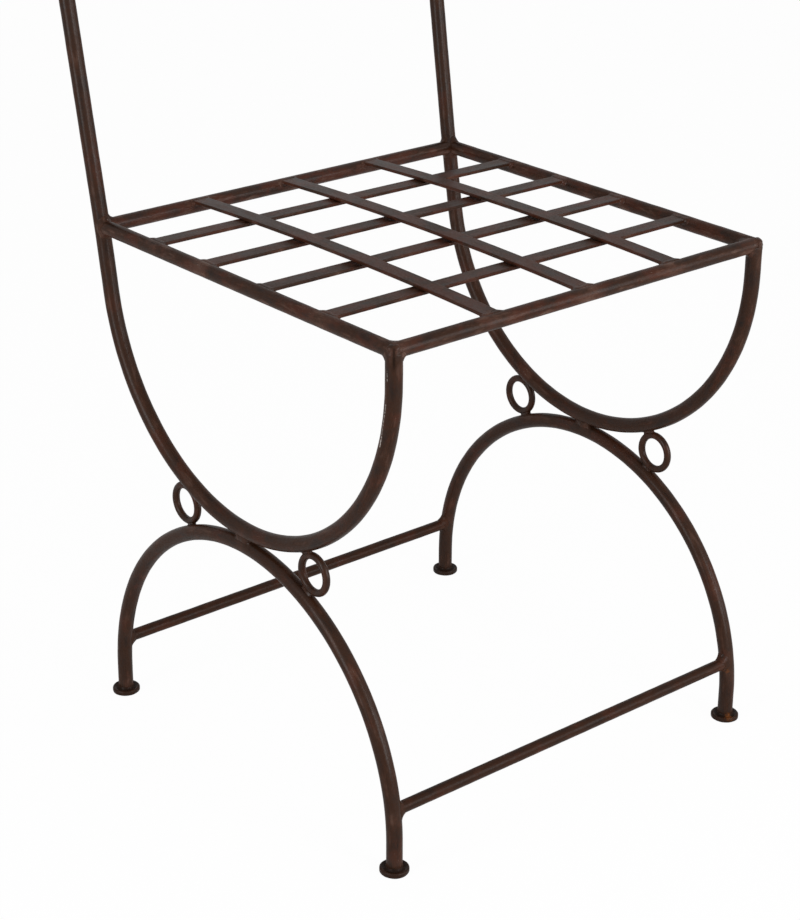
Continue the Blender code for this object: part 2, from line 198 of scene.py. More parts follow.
class ChairPaint(bpy.types.PropertyGroup):
    """Colours and gloss of the worn brown finish."""

    brown: colour("Brown", "Main colour of the paint", (0.0280, 0.0111, 0.0055))
    red: colour("Red", "Red-brown patches", (0.0510, 0.0140, 0.0066))
    # The dark colour also paints shade into the seams and crevices of the welds and round the legs'
    # feet.
    dark: colour("Dark", "Dark streaks and grime in the corners", (0.0085, 0.0045, 0.0030))
    dust: colour("Dust", "Grey bloom where the paint is rubbed thin", (0.1200, 0.0740, 0.0560))
    rust: colour("Rust", "Orange rust in the crevices", (0.1650, 0.0520, 0.0120))
    # The bare colour also paints the glints among the pale marks.
    bare: colour("Bare metal", "Small chips and scuffs down to the metal", (0.40, 0.36, 0.33))
    paint_level: number("Paint level", "Specular level of the paint itself", 0.02)
    paint_roughness: number("Paint roughness", "Roughness of the paint itself", 0.40)
    wax: number("Wax", "How much of the thin wax that the finish keeps where it is whole", 0.235)
    wax_index: number("Wax index", "Refractive index of the wax", 1.5)
    wax_roughness: number("Wax roughness", "Roughness of the wax", 0.31)


class ChairStage(bpy.types.PropertyGroup):
    """The floor, the lamps and the camera."""

    floor_colour: colour("Floor", "Colour of the floor", (0.9, 0.9, 0.9))
    floor_glow: number("Floor glow", "Share of the floor that is plain white to the camera", 0.97)
    daylight: number("Daylight", "Strength of the even light from all sides", 0.405)
    front_power: number("Front power", "Watts of the lamp before the chair", 24.0)
    right_power: number("Right power", "Watts of the lamp before the chair on the right", 14.0)
    left_power: number("Left power", "Watts of the tall lamp to the left of the chair", 21.0)
    camera_lens: number("Lens", "Focal length of the camera in millimetres", 90.3598)


# Pale marks, partly wear down to bare metal and partly painted glints where edges and weld dimples
# catch the light: both ends and the radius of each in metres, and how bare or bright it is
SCUFFS_AND_GLINTS = (
    ((-0.2070, -0.2304, 0.4432), (-0.2070, -0.2303, 0.4352), 0.0009, 0.56),
    ((-0.2070, -0.2287, 0.4282), (-0.2070, -0.2283, 0.4216), 0.0009, 0.50),
    ((-0.2070, -0.2288, 0.4160), (-0.2070, -0.2272, 0.4065), 0.0011, 0.74),
    ((-0.2070, -0.2270, 0.4064), (-0.2070, -0.2217, 0.3792), 0.0012, 0.64),
    ((-0.2062, -0.2250, 0.4615), (-0.2062, -0.2230, 0.4612), 0.0011, 0.58),
    ((0.1945, -0.2352, 0.4605), (0.1950, -0.2352, 0.4602), 0.0014, 0.45),
    ((-0.2065, -0.0447, 0.2321), (-0.2065, -0.0440, 0.2317), 0.0011, 0.90),
    ((0.1935, -0.0463, 0.2353), (0.1935, -0.0455, 0.2349), 0.0012, 0.80),
    ((-0.2065, 0.1620, 0.0445), (-0.2060, 0.1600, 0.0500), 0.0015, 0.50),
    ((-0.2045, 0.1592, 0.4690), (-0.2042, 0.1592, 0.4720), 0.0010, 0.45),
    ((-0.2000, 0.1560, 0.4655), (-0.1980, 0.1490, 0.4645), 0.0012, 0.50),
)

# Painted shade in the seams and crevices of the welds, at a front corner and at the ends of the bow
# welds: both ends and the radius of each in metres, and how dark it is
PAINTED_CREASE_SHADES = (
    ((-0.2045, -0.2353, 0.4640), (-0.2045, -0.2353, 0.4470), 0.0011, 0.90),
    ((-0.2070, -0.0500, 0.2320), (-0.2070, -0.0485, 0.2280), 0.0014, 0.85),
    ((0.1930, -0.0500, 0.2320), (0.1930, -0.0485, 0.2280), 0.0014, 0.85),
    ((-0.2070, -0.0235, 0.2325), (-0.2070, -0.0240, 0.2285), 0.0014, 0.85),
)

# Radius in metres of the grime and of the rust round a weld
GRIME_REACH = 0.012
RUST_REACH = 0.0055
# How much rust shows at each kind of weld
RUST_AT = {"foot": 0.15, "stretcher": 0.12, "front_corner": 0.0, "upright": 0.12, "bow": 0.1,
           "hoop": 0.05, "cross_strap": 0.12, "flat_bar_end": 0.1}
# Two rust spots on the front right leg: x and y from its middle, z above the place, and amount
RUST_UNDER_STRETCHER = (-0.006, -0.005, -0.006, 0.50)
RUST_ON_FOOT = (-0.004, -0.009, 0.0, 0.60)
# Painted shade in the ring where a leg stands in its foot plate: how far off the leg, how wide,
# high and dark
GROOVE_OFFSET, GROOVE_WIDTH, GROOVE_HEIGHT = 1.2 * MILLIMETRE, 1.6 * MILLIMETRE, 2.0 * MILLIMETRE
GROOVE_AMOUNT = 0.9

# Each lamp's place, and its width and height
LAMPS = {
    "front_lamp": ((0.15, -1.95, 0.85), (0.65, 1.3)),
    "right_lamp": ((1.40, -1.90, 0.80), (0.8, 1.2)),
    "left_lamp": ((-2.0, -0.1, 0.9), (0.6, 1.4))}
LAMP_TARGET = (0.0, 0.0, 0.5)
CAMERA_PLACE = (-1.23993, -1.46699, 1.07453)
CAMERA_TURN = (66.4233, -0.3256, -40.0880)     # degrees
SENSOR_WIDTH = 36.0                            # millimetres
FLOOR_HALF = 12.0


# ---------------------------------------------------------------- the chair's plan

class Plan:
    """Every place that the pieces share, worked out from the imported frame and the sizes."""

    def __init__(self, context):
        bars = context.scene.chair_bars
        self.bars = bars
        self.welds = context.scene.chair_welds
        self.frame_radius = bars.frame_bar / 2
        self.rail_radius = bars.rail_bar / 2
        self.stretcher_radius = bars.stretcher_bar / 2
        self.ring_radius = bars.ring_bar / 2
        self.x = {side: node_middle(f"foot_front_{side}")[0] for side in SIDES}
        self.outward = {"left": -1.0, "right": 1.0}
        self.foot_y = {end: node_middle(f"foot_{end}_left")[1] for end in ENDS}
        self.middle_y = (self.foot_y["front"] + self.foot_y["back"]) / 2
        self.arch_radius = (self.foot_y["back"] - self.foot_y["front"]) / 2
        self.foot_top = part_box("foot_front_left")[1].z
        self.arch_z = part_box("leg_arch_left")[1].z - self.frame_radius - self.arch_radius
        bow_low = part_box("side_bar_left")[0]
        self.bow_radius = self.middle_y - bow_low.y - self.frame_radius
        self.bow_z = bow_low.z + self.frame_radius + self.bow_radius
        self.front_y = node_middle("seat_rail_front")[1]
        self.back_y = node_middle("seat_rail_back")[1]
        self.seat_z = node_middle("seat_rail_front")[2]
        self.rail_top = self.seat_z + self.rail_radius
        self.stretcher_z = node_middle("stretcher_front")[2]
        self.lean = bars.back_lean
        self.up_the_back = np.array([0.0, math.sin(self.lean), math.cos(self.lean)])
        self.off_the_back = np.array([0.0, math.cos(self.lean), -math.sin(self.lean)])
        hoop_low, hoop_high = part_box("back_hoop")
        self.hoop_radius = (hoop_high.x - hoop_low.x) / 2 - self.frame_radius
        hoop_reach = bars.hoop_shank + self.hoop_radius
        self.hoop_z = hoop_high.z - self.frame_radius - hoop_reach * math.cos(self.lean)
        self.hoop_y = self.upright_y(self.hoop_z)

    def upright_y(self, z):
        """The upright's centre line: the straight line that leaves the bow on its tangent."""
        tangent_y = self.middle_y + self.bow_radius * math.cos(self.lean)
        tangent_z = self.bow_z - self.bow_radius * math.sin(self.lean)
        return tangent_y + (z - tangent_z) * math.tan(self.lean)

    def leg_y(self, end, z):
        """The arch's centre line: half circle above its centre, straight leg below."""
        above = max(0.0, z - self.arch_z)
        reach = math.sqrt(self.arch_radius ** 2 - above ** 2)
        return self.middle_y + (reach if end == "back" else -reach)

    def back_point(self, x, rise):
        """A point in the leaning plane of the back, by its rise from the ends of the hoop."""
        return np.array([x, self.hoop_y, self.hoop_z]) + rise * self.up_the_back

    def side_bar_path(self, side):
        """Seat corner, down and round the half-circle bow, up the splayed upright to the hoop."""
        x = self.x[side]
        bow = arc_points(x, self.middle_y, self.bow_z, self.bow_radius,
                         math.pi, 2 * math.pi - self.lean)
        start = [x, self.middle_y - self.bow_radius, self.seat_z - 0.3 * self.rail_radius]
        seat = [x, self.upright_y(self.seat_z), self.seat_z]
        top = [self.outward[side] * self.hoop_radius, self.hoop_y, self.hoop_z]
        return np.vstack([start, bow, seat, top])

    def leg_arch_path(self, side):
        """Up one leg from inside its foot plate, over the half circle and down the other leg."""
        x = self.x[side]
        arch = arc_points(x, self.middle_y, self.arch_z, self.arch_radius, math.pi, 0.0)
        sunk = self.foot_top - 2 * self.bars.foot_dish
        feet = [[x, self.foot_y[end], sunk] for end in ENDS]
        return np.vstack([feet[0], arch, feet[1]])

    def hoop_path(self):
        """Up one shank, round the half circle in the leaning plane and down the other shank."""
        turn = np.linspace(math.pi, 0.0, 121)
        arc = np.column_stack([np.cos(turn), np.sin(turn)]) * self.hoop_radius
        arc[:, 1] += self.bars.hoop_shank
        flat = np.vstack([[-self.hoop_radius, 0.0], arc, [self.hoop_radius, 0.0]])
        return (np.array([0.0, self.hoop_y, self.hoop_z]) + flat[:, :1] * ACROSS_X
                + flat[:, 1:] * self.up_the_back)

    def back_rail_path(self):
        """The cross rail of the back, between the centre lines of the uprights."""
        return np.array([self.back_point(self.outward[side] * self.hoop_radius,
                                         -self.bars.back_rail_drop) for side in SIDES])

    def ring_path(self, node):
        """A closed circle in the plane of a side frame."""
        middle = node_middle(node)
        radius = node_size(node)[2] / 2 - self.ring_radius
        return arc_points(*middle, radius, 0.0, 2 * math.pi)

    def seat_corner_path(self, side):
        """The side rail and half of the front rail, which meet in the front corner."""
        x = self.x[side]
        return np.array([[x, self.middle_y, self.seat_z], self.seat_corner(side),
                         [0.0, self.front_y, self.seat_z]])

    def cross_strap(self, index):
        """Middle of a cross strap, and the direction that it runs in."""
        middle = node_middle(f"cross_strap_{index}")
        middle[0] = 0.0
        middle[2] = self.rail_top - self.bars.cross_strap_drop - self.bars.strap_thickness / 2
        low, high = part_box(f"cross_strap_{index}")
        slant = (high.y - low.y - self.bars.strap_width) / (high.x - low.x)
        return middle, unit(np.array([1.0, -slant, 0.0]))

    def long_strap_path(self, place):
        """Middle line of a long strap, a shallow parabola from the front rail to the back rail."""
        low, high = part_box(f"long_strap_{place}")
        turn = self.bars.right_strap_turn if place == "right" else self.bars.long_strap_turn
        half = (self.back_y - self.front_y) / 2
        reach = np.linspace(-half, half, 81)
        ends = self.rail_top - 0.2 * MILLIMETRE
        height = ends + (high.z - ends) * (1 - (reach / half) ** 2)
        return np.column_stack([
            (low.x + high.x) / 2 - reach * math.sin(turn),
            (self.front_y + self.back_y) / 2 + reach * math.cos(turn),
            height - self.bars.strap_thickness / 2])

    def slat_path(self, place):
        """A back slat's centre line, from the cross rail to the hoop."""
        x = node_middle(f"back_slat_{place}")[0]
        top = self.bars.hoop_shank + math.sqrt(self.hoop_radius ** 2 - x ** 2)
        return np.array([self.back_point(x, -self.bars.back_rail_drop), self.back_point(x, top)])

    def seat_corner(self, side):
        """Where the centre lines of a side rail and of the front rail meet."""
        return np.array([self.x[side], self.front_y, self.seat_z])

    def across(self, y, z, inset=0.0):
        """A level line from the left frame to the right one, with its ends an inset short."""
        return np.array([[self.x[side] - self.outward[side] * inset, y, z] for side in SIDES])

    def side_bar(self, side):
        """A side bar as what another bar is welded to: its centre line and its radius."""
        return self.side_bar_path(side), self.frame_radius

    def leg_arch(self, side):
        """A leg arch as what another bar is welded to: its centre line and its radius."""
        return self.leg_arch_path(side), self.frame_radius

    def feet(self):
        """The middle of the top of each foot plate."""
        return np.array([[self.x[side], self.foot_y[end], self.foot_top]
                         for side in SIDES for end in ENDS])

    def joints(self):
        """Every welded place with how much rust shows there: rows of x, y, z and amount."""
        rows = []
        for side in SIDES:
            x = self.x[side]
            for end in ENDS:
                rows.append([x, self.foot_y[end], self.foot_top, RUST_AT["foot"]])
                rows.append([x, self.leg_y(end, self.stretcher_z), self.stretcher_z,
                             RUST_AT["stretcher"]])
            rows.append([*self.seat_corner(side), RUST_AT["front_corner"]])
            rows.append([x, self.upright_y(self.seat_z), self.seat_z, RUST_AT["upright"]])
            rows.append([x, self.middle_y, self.arch_z + self.arch_radius + self.frame_radius,
                         RUST_AT["bow"]])
            rows.append([*self.back_point(self.outward[side] * self.hoop_radius, 0.0),
                         RUST_AT["hoop"]])
            for index in CROSS_STRAPS:
                middle, along = self.cross_strap(index)
                rows.append([*(middle + along * x), RUST_AT["cross_strap"]])
        for place in STRAP_PLACES:
            for path in (self.long_strap_path(place), self.slat_path(place)):
                rows.extend([*tip, RUST_AT["flat_bar_end"]] for tip in (path[0], path[-1]))
        for spot, z in ((RUST_UNDER_STRETCHER, self.stretcher_z), (RUST_ON_FOOT, self.foot_top)):
            rows.append(np.array([self.x["right"], self.foot_y["front"], z, 0.0]) + spot)
        return np.array(rows)


# ---------------------------------------------------------------- shapes

def unit(vectors):
    """Vectors divided by their own lengths."""
    return vectors / np.linalg.norm(vectors, axis=-1, keepdims=True)


def arc_points(x, y, z, radius, start, end):
    """Points of a circle in a plane of equal x: y + r cos a, z + r sin a."""
    count = max(3, int(abs(end - start) / ARC_STEP))
    turn = np.linspace(start, end, count + 1)
    return np.column_stack([np.full_like(turn, x), y + radius * np.cos(turn),
                            z + radius * np.sin(turn)])


def along_path(path):
    """Distance of each point of a path from its start."""
    steps = np.linalg.norm(np.diff(path, axis=0), axis=1)
    return np.concatenate([[0.0], np.cumsum(steps)])


def spaced(path, spacing):
    """The same line with points at an even spacing along it."""
    along = along_path(path)
    count = max(2, int(round(along[-1] / spacing)))
    places = np.linspace(0.0, along[-1], count + 1)
    return np.column_stack([np.interp(places, along, path[:, axis]) for axis in range(3)])


def nearest_on_path(points, path):
    """For each point, the closest point of a line of straight segments."""
    start, step = path[:-1], np.diff(path, axis=0)
    offset = points[:, None, :] - start[None]
    share = np.clip((offset * step).sum(-1) / (step * step).sum(-1), 0.0, 1.0)
    candidates = start[None] + share[..., None] * step[None]
    gaps = np.linalg.norm(points[:, None, :] - candidates, axis=-1)
    return candidates[np.arange(len(points)), gaps.argmin(axis=1)]


def swells(along, turn, seed):
    """A slow waviness between 0 and 1: three products of sines along and round the bar."""
    rng = np.random.default_rng(seed)
    total = np.zeros(np.broadcast(along, turn).shape)
    for wavelength, lobes in ((0.071, 1), (0.037, 2), (0.019, 3)):
        phase = rng.uniform(0.0, 2 * math.pi, 2)
        total += (np.sin(2 * math.pi * along / wavelength + phase[0])
                  * np.cos(lobes * turn + phase[1]))
    return 0.5 + total / 6


def full_turn(count):
    """Evenly spaced angles of a full turn, without the last, which is the first again."""
    return np.arange(count) * 2 * math.pi / count


def round_outline(sides):
    """A circle of radius 1, as two columns."""
    turn = full_turn(sides)
    return np.column_stack([np.cos(turn), np.sin(turn)])


def flat_outline(width, thickness, edge):
    """A rectangle with rounded corners, with a point beside each corner that keeps it flat."""
    turn = np.radians([0.0, 22.5, 45.0, 67.5, 90.0])
    corner = edge * np.column_stack([np.cos(turn), np.sin(turn)])
    half = np.array([width / 2 - edge, thickness / 2 - edge])
    quarter = np.vstack([[edge, -0.4 * edge], corner, [-0.8 * edge, edge]]) + half
    top = np.vstack([quarter, quarter[::-1] * (-1, 1)])
    return np.vstack([top, top * (-1, -1)])


def spaced_outline(outline, count):
    """A closed outline with its points at an even spacing."""
    ring = np.vstack([outline, outline[:1]])
    along = along_path(ring)
    places = np.linspace(0.0, along[-1], count, endpoint=False)
    return np.column_stack([np.interp(places, along, ring[:, axis]) for axis in range(2)])


def sweep(path, across, outline, closed=False):
    """An outline carried along a path.

    At each point the tangent is the path's slope, the side is the given direction made square to
    it, and up is tangent times side. A surface point is centre + a side + b up.
    """
    if closed:
        tangent = unit(np.roll(path, -1, axis=0) - np.roll(path, 1, axis=0))
    else:
        tangent = unit(np.gradient(path, axis=0))
    side = unit(across - (tangent @ across)[:, None] * tangent)
    up = np.cross(tangent, side)
    return (path[:, None, :] + outline[..., 0, None] * side[:, None, :]
            + outline[..., 1, None] * up[:, None, :])


def unrolled(outline, along):
    """The place of each surface point on the bar as if it lay straight along a third axis."""
    shape = np.broadcast_shapes(outline.shape[:-1], along.shape)
    return np.dstack([np.broadcast_to(outline[..., 0], shape),
                      np.broadcast_to(outline[..., 1], shape), np.broadcast_to(along, shape)])


def round_bar(path, radius, across, unevenness, seed, sides):
    """A round bar whose surface dips a little below its true radius, and its unrolled place."""
    path = spaced(path, ROW_SPACING)
    ring = round_outline(sides)[None]
    along = along_path(path)[:, None]
    turn = np.arctan2(ring[..., 1], ring[..., 0])
    depth = radius - unevenness * swells(along, turn, seed)
    grid = sweep(path, across, ring * depth[..., None])
    return grid, unrolled(ring * radius, along)


def flat_bar(path, across, bars, seed):
    """A flat bar with rounded edges, a little uneven in width, and its unrolled place."""
    path = spaced(path, ROW_SPACING)
    outline = flat_outline(bars.strap_width, bars.strap_thickness, bars.strap_edge)[None]
    along = along_path(path)[:, None]
    turn = np.arctan2(outline[..., 1], outline[..., 0])
    share = 1 - 0.4 * bars.unevenness / bars.strap_thickness * swells(along, turn, seed)
    grid = sweep(path, across, outline * share[..., None])
    return grid, unrolled(outline, along)


def volume(points, triangles):
    """Signed volume inside triangles: a sixth of the sum of a . (b x c)."""
    a, b, c = (points[triangles[:, corner]] for corner in range(3))
    return (a * np.cross(b, c)).sum() / 6


def grid_faces(rows, columns, closed_rows):
    """Corner numbers of the four-sided faces of a grid that is closed across its columns."""
    row = np.arange(rows if closed_rows else rows - 1)[:, None]
    column = np.arange(columns)[None]
    next_row = (row + 1) % rows
    next_column = (column + 1) % columns
    return np.stack([row * columns + column, row * columns + next_column,
                     next_row * columns + next_column, next_row * columns + column],
                    axis=-1).reshape(-1, 4)


def build_mesh(name, grid, place, closed_rows, wear):
    """A closed mesh from a grid: a tube with a fan on each end, or a ring with none."""
    rows, columns = grid.shape[:2]
    points = grid.reshape(-1, 3)
    faces = grid_faces(rows, columns, closed_rows)
    fans = np.empty((0, 3), int)
    if not closed_rows:
        around = np.arange(columns)
        beside = (around + 1) % columns
        base = (rows - 1) * columns
        fans = np.vstack([
            np.column_stack([np.full(columns, len(points)), beside, around]),
            np.column_stack([np.full(columns, len(points) + 1), base + around, base + beside])])
        points = np.vstack([points, grid[[0, -1]].mean(axis=1)])
    triangles = np.vstack([faces[:, [0, 1, 2]], faces[:, [0, 2, 3]], fans])
    if volume(points - points.mean(axis=0), triangles) < 0:
        faces, fans = faces[:, ::-1], fans[:, ::-1]
    mesh = bpy.data.meshes.new(name)
    mesh.vertices.add(len(points))
    mesh.vertices.foreach_set("co", points.astype(np.float32).ravel())
    corners = np.concatenate([faces.ravel(), fans.ravel()])
    starts = np.concatenate([np.arange(len(faces)) * 4, len(faces) * 4 + np.arange(len(fans)) * 3])
    mesh.loops.add(len(corners))
    mesh.loops.foreach_set("vertex_index", corners.astype(np.int32))
    mesh.polygons.add(len(starts))
    mesh.polygons.foreach_set("loop_start", starts.astype(np.int32))
    mesh.update(calc_edges=True)
    mesh.validate()
    mesh.shade_smooth()
    mesh.set_sharp_from_angle(angle=SHARP_FROM)
    unrolled_place = place.reshape(-1, 3)
    if not closed_rows:
        unrolled_place = np.vstack([unrolled_place, place[[0, -1]].mean(axis=1)])
    store(mesh, "bar_place", unrolled_place)
    for kind, values in wear(points).items():
        store(mesh, kind, values)
    return mesh


def store(mesh, name, values):
    """Keeps a number or a vector for each point of a mesh."""
    kind, key = ("FLOAT_VECTOR", "vector") if values.ndim == 2 else ("FLOAT", "value")
    attribute = mesh.attributes.new(name, kind, "POINT")
    attribute.data.foreach_set(key, values.astype(np.float32).ravel())


def nearness(points, marks):
    """The largest of the marks' bell curves: amount times e to -(distance / radius) squared."""
    most = np.zeros(len(points))
    for start, end, radius, amount in marks:
        near = nearest_on_path(points, np.array([start, end]))
        distance = np.linalg.norm(points - near, axis=1)
        most = np.maximum(most, amount * np.exp(-(distance / radius) ** 2))
    return most


def wear_of(joints, feet, leg_radius):
    """Gives, for points, how rubbed, rusty and worn they are, with painted glints, and the painted
    shade in seams, crevices and round the legs' feet.
    """
    def groove(points):
        """Painted shade in the ring where a leg stands in its foot plate."""
        offset = points[:, None] - feet[None]
        reach = np.hypot(offset[..., 0], offset[..., 1]) - leg_radius - GROOVE_OFFSET
        near = (reach / GROOVE_WIDTH) ** 2 + (offset[..., 2] / GROOVE_HEIGHT) ** 2
        return GROOVE_AMOUNT * np.exp(-near).max(axis=1)

    def wear(points):
        gap = np.linalg.norm(points[:, None, :] - joints[None, :, :3], axis=-1)
        return {"grime": np.exp(-(gap / GRIME_REACH) ** 2).max(axis=1),
                "rust": (joints[:, 3] * np.exp(-(gap / RUST_REACH) ** 2)).max(axis=1),
                "scuff_and_glint": nearness(points, SCUFFS_AND_GLINTS),
                "crease_shade": np.maximum(nearness(points, PAINTED_CREASE_SHADES), groove(points))}
    return wear


# ---------------------------------------------------------------- welds

def fillet(top, corner, bottom, steps):
    """A hollow curve from top to bottom that bends towards the corner: a quadratic Bezier."""
    share = np.linspace(0.0, 1.0, steps)[:, None, None]
    return (1 - share) ** 2 * top + 2 * share * (1 - share) * corner + share ** 2 * bottom


def lumps(count, seed, amount):
    """Factors round 1 that swell and shrink a weld's reach round its joint."""
    rng = np.random.default_rng(seed)
    turn = full_turn(count)
    total = np.zeros(count)
    for lobes in (2, 3, 5, 8):
        total += np.sin(lobes * turn + rng.uniform(0.0, 2 * math.pi)) / math.sqrt(lobes)
    return (1 + amount * total)[:, None]


def weld_collar(start, direction, outline, across, host, rise, spread, swell, heavy=(0, 0, 0)):
    """The weld round the end of a bar that butts on another bar.

    Round the bar's outline, a line runs along the bar until it meets the host's surface, a tube
    about the host's centre line. The weld is a hollow curve from a ring that lies a rise back up
    the bar, past that meeting line, to a ring that lies a spread out on the host, and it closes
    through the inside of both bars. It is larger on the side that the heavy direction points to.
    """
    host_path, host_radius = host
    direction = unit(np.asarray(direction, float))
    side = unit(across - (across @ direction) * direction)
    up = np.cross(direction, side)
    slope = np.roll(outline, -1, axis=0) - np.roll(outline, 1, axis=0)
    normal = unit(np.column_stack([slope[:, 1], -slope[:, 0]]))
    outward = normal[:, :1] * side + normal[:, 1:] * up
    rim = start + outline[:, :1] * side + outline[:, 1:] * up
    reach = np.zeros((len(outline), 1))
    furthest = np.linalg.norm(nearest_on_path(start[None], host_path)[0] - start)
    for _ in range(SEARCH_STEPS):
        tip = rim + reach * direction
        gap = np.linalg.norm(tip - nearest_on_path(tip, host_path), axis=1)
        reach = np.minimum(reach + 0.9 * (gap[:, None] - host_radius), furthest)
    meeting = rim + reach * direction
    swell = swell * (1 + (outward @ np.asarray(heavy, float))[:, None])
    top = meeting - direction * rise * swell + outward * 0.12 * MILLIMETRE
    outer = meeting + outward * spread * swell
    centre = nearest_on_path(outer, host_path)
    away = unit(outer - centre)
    bottom = centre + away * (host_radius + 0.10 * MILLIMETRE)
    corner = meeting + outward * 0.28 * spread * swell - direction * 0.28 * rise * swell
    curve = fillet(top, corner, bottom, 10)
    inner_bottom = centre + away * (host_radius - WELD_DEPTH)
    inner_top = top - outward * 0.9 * MILLIMETRE
    inner_middle = (inner_bottom + inner_top) / 2 + direction * 0.3 * MILLIMETRE
    return np.concatenate([curve, inner_bottom[None], inner_middle[None], inner_top[None]])


def weld_bridge(bar, ring, reach, width, swell, waist_share=0.82):
    """The weld that fills the wedge between two bars that touch side by side.

    Round the line between the two centre lines, three ovals are laid: one on each bar's surface
    and a slightly narrower waist between them. A curve joins them, and both ends close inside
    the bars.
    """
    between = unit(ring[2] - bar[2])
    along = unit(np.cross(ACROSS_X, between))
    sideways = np.cross(between, along)
    oval = round_outline(BAR_SIDES)
    touch = (bar[2] + between * bar[1] + ring[2] - between * ring[1]) / 2
    flat = (oval[:, :1] * reach * along + oval[:, 1:] * width * sideways) * swell
    ends = []
    for path, radius, _ in (bar, ring):
        centre = nearest_on_path(touch + flat, path)
        outward = unit(touch + flat - centre)
        ends.append((centre + outward * (radius - WELD_DEPTH),
                     centre + outward * (radius + 0.08 * MILLIMETRE)))
    waist = touch + waist_share * flat
    curve = fillet(ends[0][1], 2 * waist - (ends[0][1] + ends[1][1]) / 2, ends[1][1], 9)
    return np.concatenate([ends[0][0][None], curve, ends[1][0][None]])


def round_corner(points, corner, outward, radius, round_to):
    """Grinds the mitred tip of a seat corner round, seen from above.

    At each height the two rails' outer faces meet in a square whose side is the half width of a
    rail there. A point in the last part of that square, of side a and b from the part's inner
    corner, moves from the square with max(a, b) = m to the circle of radius m.
    """
    across = (points[..., 0] - corner[0]) * outward
    ahead = corner[1] - points[..., 1]
    height = points[..., 2] - corner[2]
    half_width = np.sqrt(np.maximum(radius ** 2 - height ** 2, 0.0))
    inner = half_width - np.minimum(half_width, round_to)
    a, b = across - inner, ahead - inner
    inside = (a > 0) & (b > 0)
    share = np.where(inside, np.maximum(a, b) / np.maximum(np.hypot(a, b), 1e-9), 1.0)
    ground = points.copy()
    ground[..., 0] = corner[0] + outward * np.where(inside, inner + a * share, across)
    ground[..., 1] = corner[1] - np.where(inside, inner + b * share, ahead)
    return ground


def trim_corner(points, axis, outward, limit):
    """Grinds a corner weld flush: no point ahead and outward of the axis is past the limit."""
    across = (points[..., 0] - axis[0]) * outward
    ahead = axis[1] - points[..., 1]
    reach = np.hypot(across, ahead)
    share = np.where((across > 0) & (ahead > 0), np.minimum(1.0, limit / reach), 1.0)
    trimmed = points.copy()
    trimmed[..., 0] = axis[0] + outward * across * share
    trimmed[..., 1] = axis[1] - ahead * share
    return trimmed


def corner_web(plan, side):
    """The weld that fills the inner corner of two seat rails, as a stack of flat outlines.

    At each height the outline starts on one rail's inner face, goes by a hollow curve to the
    other rail's and comes back inside the corner. The legs shorten towards the top and bottom
    by 1 - t^6.
    """
    outward = plan.outward[side]
    corner = plan.seat_corner(side)
    level = np.linspace(-0.96, 0.96, 13)[:, None]
    height = level * (plan.rail_radius - 0.5 * MILLIMETRE)
    face = np.sqrt(plan.rail_radius ** 2 - height ** 2) - 0.3 * MILLIMETRE
    leg = plan.welds.corner_web * (1 - level ** 6) + 0.4 * MILLIMETRE
    share = np.linspace(0.0, 1.0, 9)[None]
    hollow = 0.35 * leg * share * (1 - share)
    inside_corner = np.full_like(leg, -1.2 * MILLIMETRE)
    inwards = np.hstack([(1 - share) ** 2 * leg + hollow, inside_corner])
    backwards = np.hstack([share ** 2 * leg + hollow, inside_corner])
    return np.dstack([corner[0] - outward * (face + inwards), corner[1] + face + backwards,
                      np.broadcast_to(corner[2] + height, inwards.shape)])


def corner_cap(plan, side, seed):
    """The ground weld on a front corner: the bow's round carried up to a rounded top.

    It is turned about the bow's centre line. Its radius is the bow's towards the chair's outer
    corner, and smaller, inside the rails, on the other sides.
    """
    outward = plan.outward[side]
    axis = np.array([plan.x[side], plan.middle_y - plan.bow_radius, plan.seat_z])
    turn = full_turn(56)[None]
    towards = (np.cos(turn) * outward - np.sin(turn)) / math.sqrt(2)
    share = np.clip((towards - 0.26) / 0.45, 0.0, 1.0)
    share = share * share * (3 - 2 * share)
    narrow, flush = 5.4, 0.05      # millimetres: its smaller radius, and its step inside the bow
    widest = (narrow + share * (plan.frame_radius / MILLIMETRE - narrow - flush)) * MILLIMETRE
    cap_round = plan.welds.cap_round
    bend = np.radians(np.linspace(0.0, 90.0, 9))[:, None]
    shoulder = plan.rail_radius - 0.3 * MILLIMETRE - cap_round
    reach = np.vstack([
        widest - 0.9 * MILLIMETRE, widest, widest, widest, widest,
        widest - cap_round + cap_round * np.cos(bend), 0.3 * widest])
    levels = np.vstack([
        [[-0.0030], [-0.0019], [-0.0005], [0.0009], [0.0020]],
        shoulder + cap_round * np.sin(bend), [[shoulder + cap_round + 0.05 * MILLIMETRE]]])
    height = np.broadcast_to(levels, reach.shape)
    phase = np.random.default_rng(seed).uniform(0.0, 2 * math.pi, 2)
    lump = 0.12 * MILLIMETRE * (np.sin(3 * turn + 900 * height + phase[0])
                                + np.sin(5 * turn - 700 * height + phase[1]) - 2)
    lump *= height > 0
    return np.dstack([axis[0] + (reach + lump) * np.cos(turn),
                      axis[1] + (reach + lump) * np.sin(turn), axis[2] + height + 0.5 * lump])


def mitre_seam(plan, side):
    """A thin bead over the mitre of a seat corner: a closed loop round the edge of the rails."""
    outward = plan.outward[side]
    corner = plan.seat_corner(side)
    turn = full_turn(96)[:, None]
    loop = corner + plan.rail_radius * (np.cos(turn) * np.array([outward, -1.0, 0.0])
                                        + np.sin(turn) * UPWARDS)
    loop = round_corner(loop, corner, outward, plan.rail_radius, plan.bars.corner_round)
    bead = plan.welds.seam_bead
    loop -= unit(loop - corner) * 0.75 * bead
    wobble = 1 + 0.25 * np.sin(5 * turn + outward) + 0.15 * np.sin(11 * turn)
    outline = round_outline(12)[None] * (bead * wobble)[..., None]
    return sweep(loop, np.array([1.0, outward, 0.0]), outline, closed=True)


